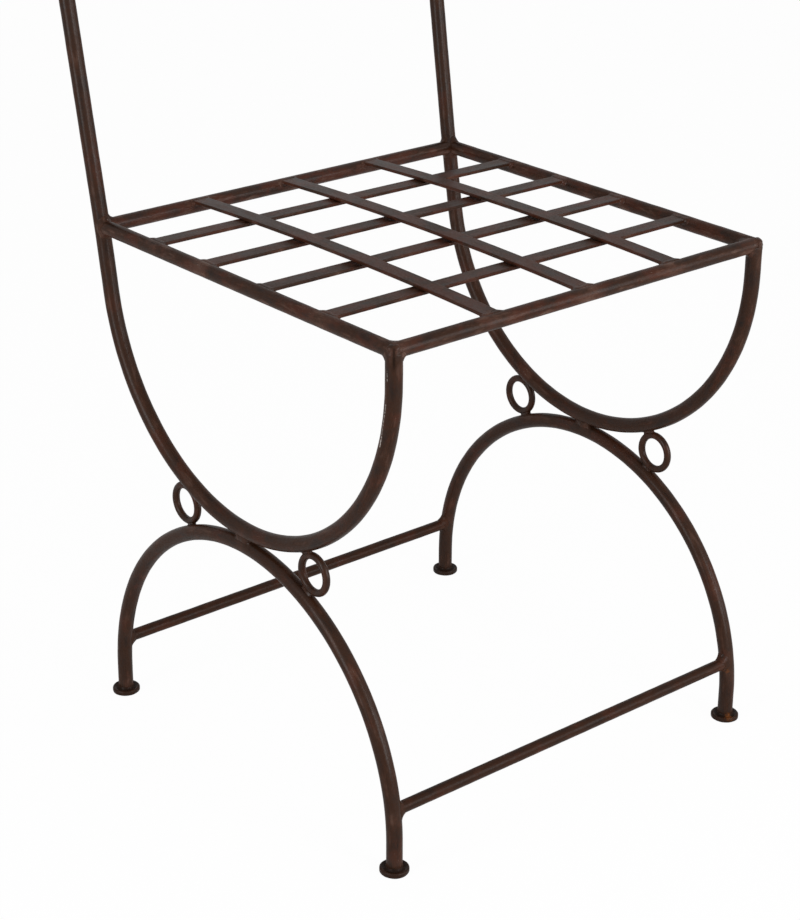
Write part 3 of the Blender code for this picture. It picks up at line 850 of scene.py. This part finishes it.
def butt_bead(centre, along, radius, half_width, seed):
    """A ground bead round a butt joint: a closed ring, wide and only just proud of the bar."""
    up = np.cross(along, ACROSS_X)
    ring = round_outline(BAR_SIDES)
    outward = ring[:, :1] * ACROSS_X + ring[:, 1:] * up
    swell = lumps(BAR_SIDES, seed, 0.3)
    turn = np.linspace(0.0, 2 * math.pi, 13)[:-1]
    profile = np.column_stack([half_width * np.cos(turn),
                               (0.6 * np.sin(turn) - 0.45) * MILLIMETRE])
    return np.array([centre + along * a * swell + outward * (radius + b) for a, b in profile])


# ---------------------------------------------------------------- paint

class Value:
    """A shader socket that takes part in a formula, so that the formula reads as written."""

    def __init__(self, graph, socket):
        self.graph = graph
        self.socket = socket

    def _math(self, operation, *operands):
        made = self.graph.node("Math", {"operation": operation}, dict(enumerate(operands)))
        return Value(self.graph, made.outputs[0])

    def __add__(self, other):
        return self._math("ADD", self, other)

    def __radd__(self, other):
        return self._math("ADD", other, self)

    def __sub__(self, other):
        return self._math("SUBTRACT", self, other)

    def __rsub__(self, other):
        return self._math("SUBTRACT", other, self)

    def __mul__(self, other):
        return self._math("MULTIPLY", self, other)

    def __rmul__(self, other):
        return self._math("MULTIPLY", other, self)

    def largest(self, other):
        """The larger of two values."""
        return self._math("MAXIMUM", self, other)

    def between(self, low, high):
        """0 at the low value, 1 at the high one, and a smooth step between them."""
        made = self.graph.node("MapRange", {"interpolation_type": "SMOOTHSTEP"},
                               {"Value": self, "From Min": low, "From Max": high})
        return Value(self.graph, made.outputs[0])


class Graph:
    """The node tree of a material or of the world."""

    def __init__(self, tree):
        self.tree = tree
        tree.nodes.clear()

    def node(self, kind, settings=None, inputs=None):
        """A node of one type: first its settings, then the values or links of its sockets."""
        made = self.tree.nodes.new("ShaderNode" + kind)
        for name, value in (settings or {}).items():
            setattr(made, name, value)
        for name, value in (inputs or {}).items():
            if isinstance(value, Value):
                self.tree.links.new(value.socket, made.inputs[name])
            else:
                made.inputs[name].default_value = value
        return made

    def finish(self, kind, shader):
        """Links a shader to the tree's output."""
        output = self.node(kind)
        self.tree.links.new(shader.outputs[0], output.inputs["Surface"])

    def attribute(self, name, output):
        """A value or vector stored on the mesh."""
        made = self.node("Attribute", {"attribute_type": "GEOMETRY", "attribute_name": name})
        return Value(self, made.outputs[output])

    def object_place(self):
        """The surface point in the piece's own metres."""
        return Value(self, self.node("TexCoord").outputs["Object"])

    def noise(self, place, scale, detail, roughness):
        """Soft random blotches, with about scale of them in a metre."""
        made = self.node("TexNoise", None, {"Vector": place, "Scale": scale, "Detail": detail,
                                            "Roughness": roughness})
        return Value(self, made.outputs[0])

    def stretched(self, place, share):
        """An unrolled place pressed together along the bar, which draws a pattern on it out."""
        made = self.node("VectorMath", {"operation": "MULTIPLY"}, {0: place, 1: (1.0, 1.0, share)})
        return Value(self, made.outputs[0])

    def blend(self, share, first, second):
        """A colour between two colours."""
        made = self.node("Mix", {"data_type": "RGBA"}, {0: share, 6: first, 7: second})
        return Value(self, made.outputs[2])

    def bump(self, height, distance):
        """A normal tilted by a height, of which 1 is the given distance in metres."""
        made = self.node("Bump", None, {"Height": height, "Distance": distance, "Strength": 1.0})
        return Value(self, made.outputs[0])

    def seen_ray(self):
        """1 for rays that show the room: from the camera, in a reflection or through glass."""
        lights = self.node("LightPath")
        camera, glossy, through = (Value(self, lights.outputs[kind]) for kind in (
            "Is Camera Ray", "Is Glossy Ray", "Is Transmission Ray"))
        return camera.largest(glossy).largest(through)


def solid(rgb):
    """A colour with full alpha."""
    return (*rgb, 1.0)


def iron_paint(name, paint, red=0.5, dust=0.5, rust=0.6, streaks=1.0, rougher=0.0, grimy=0.0,
               gloss=1.0):
    """Worn brown paint on iron.

    Brown is mixed with red-brown in blotches, then darkened in random streaks along the bar,
    and by painted shade in the stored seams and crevices of the welds and round the legs' feet.
    Then a bloom pales it in streaks and round the joints. Rust fills the crevices where a noise and
    the stored rust meet, chips show pale metal, and the stored pale marks show worn metal and
    painted glints. Over it lies a thin wax that is worn in patches, so that a highlight breaks up
    along the bar. Height is mottled paint, fine streaks along the bar and pits.
    """
    if name in bpy.data.materials:
        return bpy.data.materials[name]
    material = bpy.data.materials.new(name)
    material.use_nodes = True
    graph = Graph(material.node_tree)
    place = graph.object_place()
    bar = graph.attribute("bar_place", "Vector")
    grime, stored_rust, scuff_and_glint, crease_shade = (
        graph.attribute(kind, "Fac") for kind in ("grime", "rust", "scuff_and_glint", "crease_shade"))

    blotches = graph.noise(place, 34.0, 4.0, 0.6)
    mottle = graph.noise(graph.stretched(bar, 0.30), 130.0, 3.0, 0.55)
    streak = graph.noise(graph.stretched(bar, 0.05), 560.0, 3.0, 0.6)
    grain = graph.noise(place, 560.0, 3.0, 0.6)
    speckle = graph.noise(place, 1400.0, 2.0, 0.5)

    red_share = (blotches.between(0.62 - 0.22 * red, 0.76 - 0.22 * red) * 0.75
                 + mottle.between(0.50, 0.68) * 0.35) * (1.4 * red)
    base = graph.blend(red_share, solid(paint.brown), solid(paint.red))
    shade = (mottle.between(0.48, 0.30) * 0.58 + streak.between(0.46, 0.32) * 0.28
             + grain.between(0.47, 0.34) * 0.26 + grimy)
    # The dark streaks are the paint's own random tone; the stored mask adds painted shade in seams
    # and crevices.
    base = graph.blend(shade.largest(crease_shade), base, solid(paint.dark))
    bloom = (mottle.between(0.50, 0.74) * (0.4 + streak.between(0.42, 0.62) * 0.6)
             + grime * blotches.between(0.40, 0.66) * (0.35 + grain.between(0.40, 0.66) * 0.35))
    base = graph.blend(bloom * (dust * streaks) * (1 - crease_shade), base, solid(paint.dust))
    rust_share = (stored_rust * 1.5 + grain * 1.2 - 1.0).between(0.0, 0.6) * rust
    base = graph.blend(rust_share, base, solid(paint.rust))
    chips = speckle.between(0.70, 0.74) * blotches.between(0.60, 0.66) * 0.6
    # The stored pale marks paint worn metal and painted glints.
    scratched = (scuff_and_glint + streak * 0.8 + grain * 0.8 - 0.8).between(0.42, 0.72)
    chips = chips.largest(scratched * scuff_and_glint.between(0.10, 0.30))
    base = graph.blend(chips, base, solid(paint.bare))

    roughness = paint.paint_roughness + rougher + rust_share * 0.3 + grime * 0.08
    wax = ((0.45 + mottle.between(0.62, 0.38) * 0.40 + grain.between(0.60, 0.40) * 0.30)
           * (1 - rust_share) * (1 - crease_shade * 0.8) * (paint.wax * gloss))
    height = (mottle * 0.5 + streak * (0.2 * streaks) + grain * 0.22 + speckle * 0.06
              - chips * 0.25)
    normal = graph.bump(height, 0.16 * MILLIMETRE)
    graph.finish("OutputMaterial", graph.node("BsdfPrincipled", None, {
        "Base Color": base, "Roughness": roughness, "Metallic": chips * 0.5, "Normal": normal,
        "Specular IOR Level": paint.paint_level, "Coat Weight": wax,
        "Coat IOR": paint.wax_index, "Coat Roughness": paint.wax_roughness}))
    return material


# ---------------------------------------------------------------- pieces

class ChairOperator:
    """What the chair's operators share. Each has the first of the seeds of its random draws."""

    bl_options = {"REGISTER", "UNDO"}

    def begin(self, context):
        """Works out the plan, and gives it with the paint's settings."""
        self.context = context
        self.plan = Plan(context)
        self.bars = self.plan.bars
        self.welds = self.plan.welds
        self.wear = wear_of(self.plan.joints(), self.plan.feet(), self.plan.frame_radius)
        return self.plan, context.scene.chair_paint

    def add_piece(self, name, grid, place=None, closed_rows=False):
        """Puts a finished mesh in the scene on the one body, with its paint."""
        place = grid if place is None else place
        mesh = build_mesh(name, grid, place, closed_rows, self.wear)
        mesh.materials.append(self.material)
        piece = bpy.data.objects.new(name, mesh)
        self.context.scene.collection.objects.link(piece)
        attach(piece, "root")
        return piece

    def add_iron(self, node, grid, place=None, closed_rows=False):
        """A piece that stands for a CAD node."""
        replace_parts(self.add_piece(node + "_iron", grid, place, closed_rows), node)

    def add_bar(self, node, path, radius, across, seed, sides=BAR_SIDES):
        """A round bar that stands for a CAD node."""
        self.add_iron(node, *round_bar(path, radius, across, self.bars.unevenness, seed, sides))

    def add_strap(self, node, path, seed):
        """A flat bar that stands for a CAD node."""
        self.add_iron(node, *flat_bar(path, strap_across(path), self.bars, seed))

    def add_weld(self, name, node, grid, closed_rows=True):
        """A weld, in the paint that the operator has set."""
        self.add_piece(name, grid, None, closed_rows)

    def lumps(self, count, seed):
        """The swelling of one weld round its joint."""
        return lumps(count, seed, self.welds.lumpiness)

    def weld_bar(self, name, node, end, direction, radius, host, sizes, seed, heavy=(0, 0, 0)):
        """The weld at the end of a round bar."""
        direction = np.asarray(direction, float)
        across = UPWARDS if abs(direction @ UPWARDS) < 0.5 else ACROSS_X
        outline = round_outline(WELD_SIDES) * radius
        grid = weld_collar(end - direction * RUN_UP, direction, outline, across, host, *sizes,
                           self.lumps(WELD_SIDES, seed),
                           np.asarray(heavy) * self.welds.lopsidedness)
        self.add_weld(name, node, grid)

    def weld_strap(self, name, node, end, direction, host, across, seed):
        """The weld round the end of a flat bar."""
        outline = flat_outline(self.bars.strap_width, self.bars.strap_thickness,
                               self.bars.strap_edge)
        outline = spaced_outline(outline, STRAP_WELD_POINTS)
        grid = weld_collar(end - direction * RUN_UP, direction, outline, across, host,
                           self.welds.strap_rise, self.welds.strap_spread,
                           self.lumps(STRAP_WELD_POINTS, seed))
        self.add_weld(name, node, grid)


def strap_across(path):
    """The direction across a flat bar that runs along a path: level and square to it."""
    along = path[-1] - path[0]
    level = np.array([along[1], -along[0], 0.0])
    return ACROSS_X if abs(along[2]) > np.linalg.norm(level) else unit(level)


class CHAIR_OT_side_frames(ChairOperator, bpy.types.Operator):
    """Sweeps the two side bars and the two leg arches, and welds them where they touch"""

    bl_idname = "chair.side_frames"
    bl_label = "Side frames"
    first_seed = 10

    def execute(self, context):
        plan, paint = self.begin(context)
        self.material = iron_paint("side_frame_paint", paint, red=0.5, dust=0.42, streaks=0.85)
        bow_bottom = plan.bow_z - plan.bow_radius
        arch_top = plan.arch_z + plan.arch_radius
        for seed, side in enumerate(SIDES, start=self.first_seed):
            bow, arch = plan.side_bar(side), plan.leg_arch(side)
            self.add_bar(f"side_bar_{side}", *bow, ACROSS_X, seed, SIDE_BAR_SIDES)
            self.add_bar(f"leg_arch_{side}", *arch, ACROSS_X, seed + 10)
            x, y = plan.x[side], plan.middle_y
            patch = weld_bridge((*bow, np.array([x, y, bow_bottom])),
                                (*arch, np.array([x, y, arch_top])), self.welds.bow_reach,
                                self.welds.bow_width, self.lumps(BAR_SIDES, seed + 20) ** 0.4,
                                waist_share=0.75)
            self.add_weld(f"weld_bow_{side}", f"leg_arch_{side}", patch, closed_rows=False)
        return {"FINISHED"}


class CHAIR_OT_rings(ChairOperator, bpy.types.Operator):
    """Sweeps the four small rings and welds each to its bow and its arch"""

    bl_idname = "chair.rings"
    bl_label = "Rings"
    first_seed = 40
    # How long each weld is beside the set length, since no two are alike
    weld_shares = {"arch_back_right": 1.08, "bow_front_right": 1.04, "bow_front_left": 0.96,
                   "arch_front_left": 1.12, "arch_back_left": 0.74}
    usual_share = 0.9

    def execute(self, context):
        plan, paint = self.begin(context)
        self.material = iron_paint("ring_paint", paint, red=0.55, dust=0.25, streaks=0.7,
                                   gloss=1.2)
        places = [(end, side) for side in SIDES for end in ENDS]
        outline = round_outline(RING_SIDES)[None] * plan.ring_radius
        for seed, (end, side) in enumerate(places, start=self.first_seed):
            node = f"ring_{end}_{side}"
            path = plan.ring_path(node)
            self.add_iron(node, sweep(path[:-1], ACROSS_X, outline, closed=True),
                          closed_rows=True)
            middle = node_middle(node)
            ring_reach = node_size(node)[2] / 2 - plan.ring_radius
            for kind, host, z, radius in (
                    ("bow", plan.side_bar(side), plan.bow_z, plan.bow_radius),
                    ("arch", plan.leg_arch(side), plan.arch_z, plan.arch_radius)):
                centre = np.array([middle[0], plan.middle_y, z])
                towards = unit(middle - centre)
                host_point = centre + towards * radius
                host_point[0] = plan.x[side]
                ring = (path, plan.ring_radius, middle - towards * ring_reach)
                share = self.weld_shares.get(f"{kind}_{end}_{side}", self.usual_share)
                grid = weld_bridge((*host, host_point), ring, self.welds.ring_reach * share,
                                   self.welds.ring_width, self.lumps(BAR_SIDES, seed))
                self.add_weld(f"weld_{kind}_{node}", node, grid, closed_rows=False)
        return {"FINISHED"}


class CHAIR_OT_feet(ChairOperator, bpy.types.Operator):
    """Turns the four foot plates with their dished tops and welds the legs to them"""

    bl_idname = "chair.feet"
    bl_label = "Foot plates"
    first_seed = 70

    def execute(self, context):
        plan, paint = self.begin(context)
        self.material = iron_paint("foot_paint", paint, red=0.35, dust=0.15, rust=0.9, streaks=0.5,
                                   grimy=0.35, gloss=0.8)
        places = [(end, side) for end in ENDS for side in SIDES]
        for seed, (end, side) in enumerate(places, start=self.first_seed):
            node = f"foot_{end}_{side}"
            self.add_iron(node, self.plate(node, seed))
            foot = np.array([plan.x[side], plan.foot_y[end], plan.foot_top])
            self.add_weld(f"weld_{node}", node, self.leg_weld(foot, seed + 10))
        return {"FINISHED"}

    def plate(self, node, seed):
        """A turned plate: flat below, a round rim, and a top that dips towards the leg."""
        low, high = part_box(node)
        thickness = high.z - low.z
        radius = (high.x - low.x) / 2
        edge = self.bars.foot_round
        dish = self.bars.foot_dish
        rim = np.radians(np.linspace(0.0, 90.0, 7))
        reach = np.concatenate([
            [0.25 * radius], radius - edge + edge * np.sin(rim),
            radius - edge + edge * np.cos(rim), radius * np.array([0.82, 0.74, 0.66, 0.3])])
        up = np.concatenate([
            [0.0], edge - edge * np.cos(rim), thickness - edge + edge * np.sin(rim),
            thickness - dish * np.array([0.12, 0.55, 0.95, 1.0])])
        turn = full_turn(FOOT_SIDES)[None]
        rng = np.random.default_rng(seed)
        wave = sum(np.sin(lobes * turn + rng.uniform(0.0, 6.0)) / math.sqrt(lobes)
                   for lobes in (2, 3, 5, 9))
        waver = self.bars.foot_waver * np.clip(0.5 + 0.22 * wave, 0.0, 1.0)
        ring = reach[:, None] - waver * (reach[:, None] / radius) ** 4
        sag = 0.25 * MILLIMETRE * np.sin(2 * turn + seed) * (up[:, None] > thickness / 2)
        middle = (low + high) / 2
        return np.dstack([middle.x + ring * np.cos(turn), middle.y + ring * np.sin(turn),
                          low.z + up[:, None] - np.abs(sag)])

    def leg_weld(self, foot, seed):
        """A hollow ring of weld between a leg and the dished top of its foot plate."""
        radius = self.plan.frame_radius
        outward = np.column_stack([round_outline(WELD_SIDES), np.zeros(WELD_SIDES)])
        swell = self.lumps(WELD_SIDES, seed)
        floor = foot - UPWARDS * self.bars.foot_dish
        meeting = floor + outward * radius
        rise = self.welds.foot_rise + self.bars.foot_dish
        top = meeting + UPWARDS * rise * swell + outward * 0.08 * MILLIMETRE
        bottom = meeting + outward * self.welds.foot_spread * swell + UPWARDS * 0.1 * MILLIMETRE
        corner = (meeting + outward * 0.3 * self.welds.foot_spread
                  + UPWARDS * 0.3 * self.welds.foot_rise)
        curve = fillet(top, corner, bottom, 8)
        inner_bottom = bottom - UPWARDS * 0.6 * MILLIMETRE - outward * 0.3 * MILLIMETRE
        inner_top = top - outward * 1.0 * MILLIMETRE
        return np.concatenate([curve, inner_bottom[None], inner_top[None]])


class CHAIR_OT_stretchers(ChairOperator, bpy.types.Operator):
    """Sweeps the two thin bars between the legs and welds their ends"""

    bl_idname = "chair.stretchers"
    bl_label = "Stretchers"
    first_seed = 90

    def execute(self, context):
        plan, paint = self.begin(context)
        self.material = iron_paint("stretcher_paint", paint, red=0.5, dust=0.2, gloss=0.65)
        sizes = (self.welds.stretcher_rise, self.welds.stretcher_spread)
        for seed, end in enumerate(ENDS, start=self.first_seed):
            node = f"stretcher_{end}"
            y, z = plan.leg_y(end, plan.stretcher_z), plan.stretcher_z
            self.add_bar(node, plan.across(y, z, 0.6 * plan.frame_radius), plan.stretcher_radius,
                         ACROSS_Y, seed, STRETCHER_SIDES)
            for side, tip in zip(SIDES, plan.across(y, z)):
                self.weld_bar(f"weld_{node}_{side}", node, tip, ACROSS_X * plan.outward[side],
                              plan.stretcher_radius, plan.leg_arch(side), sizes, seed + 4,
                              heavy=(0.0, 0.0, plan.outward[side]))
        return {"FINISHED"}


class CHAIR_OT_seat_rails(ChairOperator, bpy.types.Operator):
    """Sweeps the four seat rails, grinds the front corners and welds the rails to the frames"""

    bl_idname = "chair.seat_rails"
    bl_label = "Seat rails"
    first_seed = 100

    def execute(self, context):
        plan, paint = self.begin(context)
        self.material = iron_paint("seat_rail_paint", paint, red=0.72, dust=0.75, gloss=0.9)
        for seed, side in enumerate(SIDES, start=self.first_seed):
            self.side_rail(side, seed)
            self.joint_welds(side, seed + 5)
        self.front_rail(self.first_seed + 4)
        path = plan.across(plan.back_y, plan.seat_z, 0.4 * plan.frame_radius)
        self.material = iron_paint("back_seat_rail_paint", paint, red=1.0, dust=0.8, gloss=1.25)
        self.add_bar("seat_rail_back", path, plan.rail_radius, ACROSS_Y, self.first_seed + 8)
        return {"FINISHED"}

    def rows_from_corner(self, total):
        """Distances along a rail, close together for the first part and then evenly spaced."""
        return np.concatenate([
            np.arange(0.0, CORNER_ROWS, CORNER_ROW_SPACING),
            np.arange(CORNER_ROWS, total - MILLIMETRE, ROW_SPACING), [total]])

    def rail_surface(self, along, seed):
        """Offsets and unrolled place of a straight round bar's surface at distances along it."""
        ring = round_outline(RAIL_SIDES)[None]
        along = along[:, None]
        turn = np.arctan2(ring[..., 1], ring[..., 0])
        depth = self.plan.rail_radius - self.bars.unevenness * swells(along, turn, seed)
        return ring * depth[..., None], unrolled(ring * self.plan.rail_radius, along)

    def side_rail(self, side, seed):
        """From the mitre backwards into the upright; the slant of the mitre fades along it."""
        plan = self.plan
        outward = plan.outward[side]
        corner = plan.seat_corner(side)
        along = self.rows_from_corner(plan.back_y - BAR_END_INSET - plan.front_y)
        offset, place = self.rail_surface(along, seed)
        slant = -outward * offset[..., 0] * np.exp(-along / MITRE_FADE)[:, None]
        grid = np.dstack([corner[0] + offset[..., 0], corner[1] + along[:, None] + slant,
                          corner[2] + offset[..., 1]])
        grid = round_corner(grid, corner, outward, plan.rail_radius, self.bars.corner_round)
        self.add_iron(f"seat_rail_{side}", grid, place)

    def front_rail(self, seed):
        """From mitre to mitre; the slant of each mitre fades along the rail."""
        plan = self.plan
        total = plan.x["right"] - plan.x["left"]
        half = self.rows_from_corner(total / 2)
        along = np.concatenate([half, total - half[-2::-1]])
        offset, place = self.rail_surface(along, seed)
        fade = (np.exp(-along / MITRE_FADE) - np.exp(-(total - along) / MITRE_FADE))[:, None]
        grid = np.dstack([plan.x["left"] + along[:, None] + offset[..., 0] * fade,
                          plan.front_y + offset[..., 0], plan.seat_z + offset[..., 1]])
        for side in SIDES:
            grid = round_corner(grid, plan.seat_corner(side), plan.outward[side],
                                plan.rail_radius, self.bars.corner_round)
        self.add_iron("seat_rail_front", grid, place)

    def joint_welds(self, side, seed):
        """The mitre's bead, the bow's weld under the corner, and both rails' at the upright."""
        plan = self.plan
        x, outward = plan.x[side], plan.outward[side]
        node = f"seat_rail_{side}"
        self.add_weld(f"weld_mitre_{side}", node, mitre_seam(plan, side))
        sizes = (self.welds.upright_rise, self.welds.upright_spread)
        for kind, rail, y, direction, later in (
                ("side", node, plan.upright_y(plan.seat_z), ACROSS_Y, 0),
                ("back", "seat_rail_back", plan.back_y, ACROSS_X * outward, 2)):
            self.weld_bar(f"weld_upright_{kind}_{side}", rail, np.array([x, y, plan.seat_z]),
                          direction, plan.rail_radius, plan.side_bar(side), sizes, seed + later)
        bow_end = np.array([x, plan.middle_y - plan.bow_radius, plan.seat_z])
        collar = weld_collar(bow_end - UPWARDS * RUN_UP, UPWARDS,
                             round_outline(WELD_SIDES) * plan.frame_radius, ACROSS_X,
                             (plan.seat_corner_path(side), plan.rail_radius),
                             self.welds.corner_rise, self.welds.corner_spread,
                             self.lumps(WELD_SIDES, seed + 4))
        self.add_weld(f"weld_corner_{side}", f"side_bar_{side}",
                      trim_corner(collar, bow_end, outward, plan.frame_radius + 0.1 * MILLIMETRE))
        self.add_weld(f"weld_web_{side}", node, corner_web(plan, side), closed_rows=False)
        self.add_weld(f"weld_cap_{side}", node, corner_cap(plan, side, seed + 6),
                      closed_rows=False)


class CHAIR_OT_straps(ChairOperator, bpy.types.Operator):
    """Sweeps the flat bars of the seat lattice and welds their ends to the rails"""

    bl_idname = "chair.straps"
    bl_label = "Seat straps"
    first_seed = 110

    def execute(self, context):
        plan, paint = self.begin(context)
        self.material = iron_paint("strap_paint", paint, red=0.85, dust=0.6, rougher=0.04)
        for index in CROSS_STRAPS:
            self.cross_strap(plan, index, self.first_seed + index)
        for seed, place in enumerate(STRAP_PLACES, start=self.first_seed + 20):
            self.long_strap(plan, place, seed)
        return {"FINISHED"}

    def cross_strap(self, plan, index, seed):
        """From the left rail to the right rail, with its top just below theirs."""
        node = f"cross_strap_{index}"
        middle, along = plan.cross_strap(index)
        half = plan.x["right"]
        reach = along * (half - BAR_END_INSET)
        path = np.array([middle - reach, middle + reach])
        self.add_strap(node, path, seed)
        for side in SIDES:
            rail = np.array([plan.seat_corner(side), [plan.x[side], plan.back_y, plan.seat_z]])
            direction = along * plan.outward[side]
            self.weld_strap(f"weld_{node}_{side}", node, middle + direction * half, direction,
                            (rail, plan.rail_radius), strap_across(path), seed + 10)

    def long_strap(self, plan, place, seed):
        """From the front rail over the cross straps to the back rail."""
        node = f"long_strap_{place}"
        path = plan.long_strap_path(place)
        self.add_strap(node, path[1:-1], seed)
        for end, tip, inner, y in (("front", path[0], path[5], plan.front_y),
                                   ("back", path[-1], path[-6], plan.back_y)):
            rail = (plan.across(y, plan.seat_z), plan.rail_radius)
            self.weld_strap(f"weld_{node}_{end}", node, tip, unit(tip - inner), rail,
                            strap_across(path), seed + 5)


class CHAIR_OT_back(ChairOperator, bpy.types.Operator):
    """Sweeps the hoop, its cross rail and the three slats, and welds them"""

    bl_idname = "chair.back"
    bl_label = "Back"
    first_seed = 150

    def execute(self, context):
        plan, paint = self.begin(context)
        self.material = iron_paint("back_paint", paint, red=0.45, dust=0.5)
        hoop, rail = plan.hoop_path(), plan.back_rail_path()
        self.add_bar("back_hoop", hoop, plan.frame_radius, plan.off_the_back, self.first_seed)
        inset = ACROSS_X * BAR_END_INSET
        self.add_bar("back_rail", rail + [inset, -inset], plan.rail_radius, plan.off_the_back,
                     self.first_seed + 2)
        for seed, (side, tip) in enumerate(zip(SIDES, rail), start=self.first_seed + 4):
            self.weld_bar(f"weld_back_rail_{side}", "back_rail", tip,
                          ACROSS_X * plan.outward[side], plan.rail_radius, plan.side_bar(side),
                          (self.welds.upright_rise, self.welds.upright_spread), seed)
            butt = plan.back_point(plan.outward[side] * plan.hoop_radius, 0.0)
            self.add_weld(f"weld_hoop_{side}", "back_hoop",
                          butt_bead(butt, plan.up_the_back, plan.frame_radius,
                                    self.welds.butt_bead, seed + 2))
        for seed, place in enumerate(STRAP_PLACES, start=self.first_seed + 10):
            self.slat(plan, place, hoop, rail, seed)
        return {"FINISHED"}

    def slat(self, plan, place, hoop, rail, seed):
        """One flat slat between the cross rail and the hoop."""
        node = f"back_slat_{place}"
        path = plan.slat_path(place)
        along = plan.up_the_back
        inset = along * 0.003
        self.add_strap(node, path + [inset, -inset], seed)
        for level, tip, direction, host in (
                ("low", path[0], -along, (rail, plan.rail_radius)),
                ("high", path[1], along, (hoop, plan.frame_radius))):
            self.weld_strap(f"weld_{node}_{level}", node, tip, direction, host, ACROSS_X, seed + 5)


# ---------------------------------------------------------------- stage

class CHAIR_OT_stage(bpy.types.Operator):
    """Lays the pale floor, hangs the lamps, sets the light of the room and places the camera"""

    bl_idname = "chair.stage"
    bl_label = "Stage"

    def execute(self, context):
        stage = context.scene.chair_stage
        self.floor(context, stage)
        self.room_light(context, stage)
        for name, power in (("front_lamp", stage.front_power), ("right_lamp", stage.right_power),
                            ("left_lamp", stage.left_power)):
            self.lamp(context, name, *LAMPS[name], power)
        self.camera(context, stage)
        context.scene.view_settings.view_transform = "Standard"
        return {"FINISHED"}

    def floor(self, context, stage):
        """A wide flat floor under the feet, nearly plain white to the camera, with its shadow."""
        mesh = bpy.data.meshes.new("floor")
        corners = [(x * FLOOR_HALF, y * FLOOR_HALF, CAD_BOX[0].z)
                   for x, y in ((-1, -1), (1, -1), (1, 1), (-1, 1))]
        mesh.from_pydata(corners, [], [(0, 1, 2, 3)])
        material = bpy.data.materials.new("pale_floor")
        material.use_nodes = True
        graph = Graph(material.node_tree)
        matt = graph.node("BsdfDiffuse", None, {"Color": solid(stage.floor_colour)})
        glow = graph.node("Emission", None, {"Color": WHITE, "Strength": 1.0})
        self.finish(graph, "OutputMaterial", stage.floor_glow, matt, glow)
        mesh.materials.append(material)
        floor = bpy.data.objects.new("floor", mesh)
        context.scene.collection.objects.link(floor)

    def room_light(self, context, stage):
        """White to the camera, and an even light of the set strength to the chair."""
        world = bpy.data.worlds.new("room")
        world.use_nodes = True
        context.scene.world = world
        graph = Graph(world.node_tree)
        light = graph.node("Background", None, {"Color": WHITE, "Strength": stage.daylight})
        plain = graph.node("Background", None, {"Color": WHITE, "Strength": 1.0})
        self.finish(graph, "OutputWorld", 1.0, light, plain)

    def finish(self, graph, output, share, lit, seen):
        """Mixes in a share of the second shader for rays that show the room."""
        mixed = graph.node("MixShader", None, {0: graph.seen_ray() * share,
                                               1: Value(graph, lit.outputs[0]),
                                               2: Value(graph, seen.outputs[0])})
        graph.finish(output, mixed)

    def lamp(self, context, name, place, sizes, power):
        """A soft lamp, of a width and a height, that points at the chair."""
        data = bpy.data.lights.new(name, "AREA")
        data.shape = "RECTANGLE"
        data.size, data.size_y = sizes
        data.energy = power
        lamp = bpy.data.objects.new(name, data)
        context.scene.collection.objects.link(lamp)
        lamp.location = place
        towards = Vector(LAMP_TARGET) - Vector(place)
        lamp.rotation_euler = towards.to_track_quat("-Z", "Y").to_euler()

    def camera(self, context, stage):
        """The camera that the photograph was fitted to."""
        data = bpy.data.cameras.new("camera")
        data.sensor_width = SENSOR_WIDTH
        data.sensor_fit = "AUTO"
        data.lens = stage.camera_lens
        camera = bpy.data.objects.new("camera", data)
        context.scene.collection.objects.link(camera)
        camera.location = CAMERA_PLACE
        camera.rotation_euler = Euler([math.radians(degrees) for degrees in CAMERA_TURN])
        context.scene.camera = camera


class CHAIR_PT_sidebar(bpy.types.Panel):
    """Lists the steps that build the chair, with their sizes and colours"""

    bl_idname = "CHAIR_PT_sidebar"
    bl_label = "Iron chair"
    bl_space_type = "VIEW_3D"
    bl_region_type = "UI"
    bl_category = "Iron chair"

    def draw(self, context):
        layout = self.layout
        for operator in OPERATORS:
            layout.operator(operator.bl_idname)
        for name, group in GROUPS.items():
            box = layout.box()
            box.label(text=name.replace("_", " ").capitalize())
            for prop in group.__annotations__:
                box.prop(getattr(context.scene, name), prop)


GROUPS = {"chair_bars": ChairBars, "chair_welds": ChairWelds, "chair_paint": ChairPaint,
          "chair_stage": ChairStage}
OPERATORS = (CHAIR_OT_side_frames, CHAIR_OT_rings, CHAIR_OT_feet, CHAIR_OT_stretchers,
             CHAIR_OT_seat_rails, CHAIR_OT_straps, CHAIR_OT_back, CHAIR_OT_stage)
CLASSES = (*GROUPS.values(), *OPERATORS, CHAIR_PT_sidebar)


def register():
    """Adds the classes and hangs the settings on the scene."""
    for cls in CLASSES:
        bpy.utils.register_class(cls)
    for name, group in GROUPS.items():
        setattr(bpy.types.Scene, name, bpy.props.PointerProperty(type=group))


def unregister():
    """Takes the settings off the scene and removes the classes."""
    for name in GROUPS:
        delattr(bpy.types.Scene, name)
    for cls in reversed(CLASSES):
        bpy.utils.unregister_class(cls)


def main():
    """Builds the whole chair."""
    register()
    bpy.ops.chair.side_frames()
    bpy.ops.chair.rings()
    bpy.ops.chair.feet()
    bpy.ops.chair.stretchers()
    bpy.ops.chair.seat_rails()
    bpy.ops.chair.straps()
    bpy.ops.chair.back()
    bpy.ops.chair.stage()


if __name__ == "__main__":
    main()
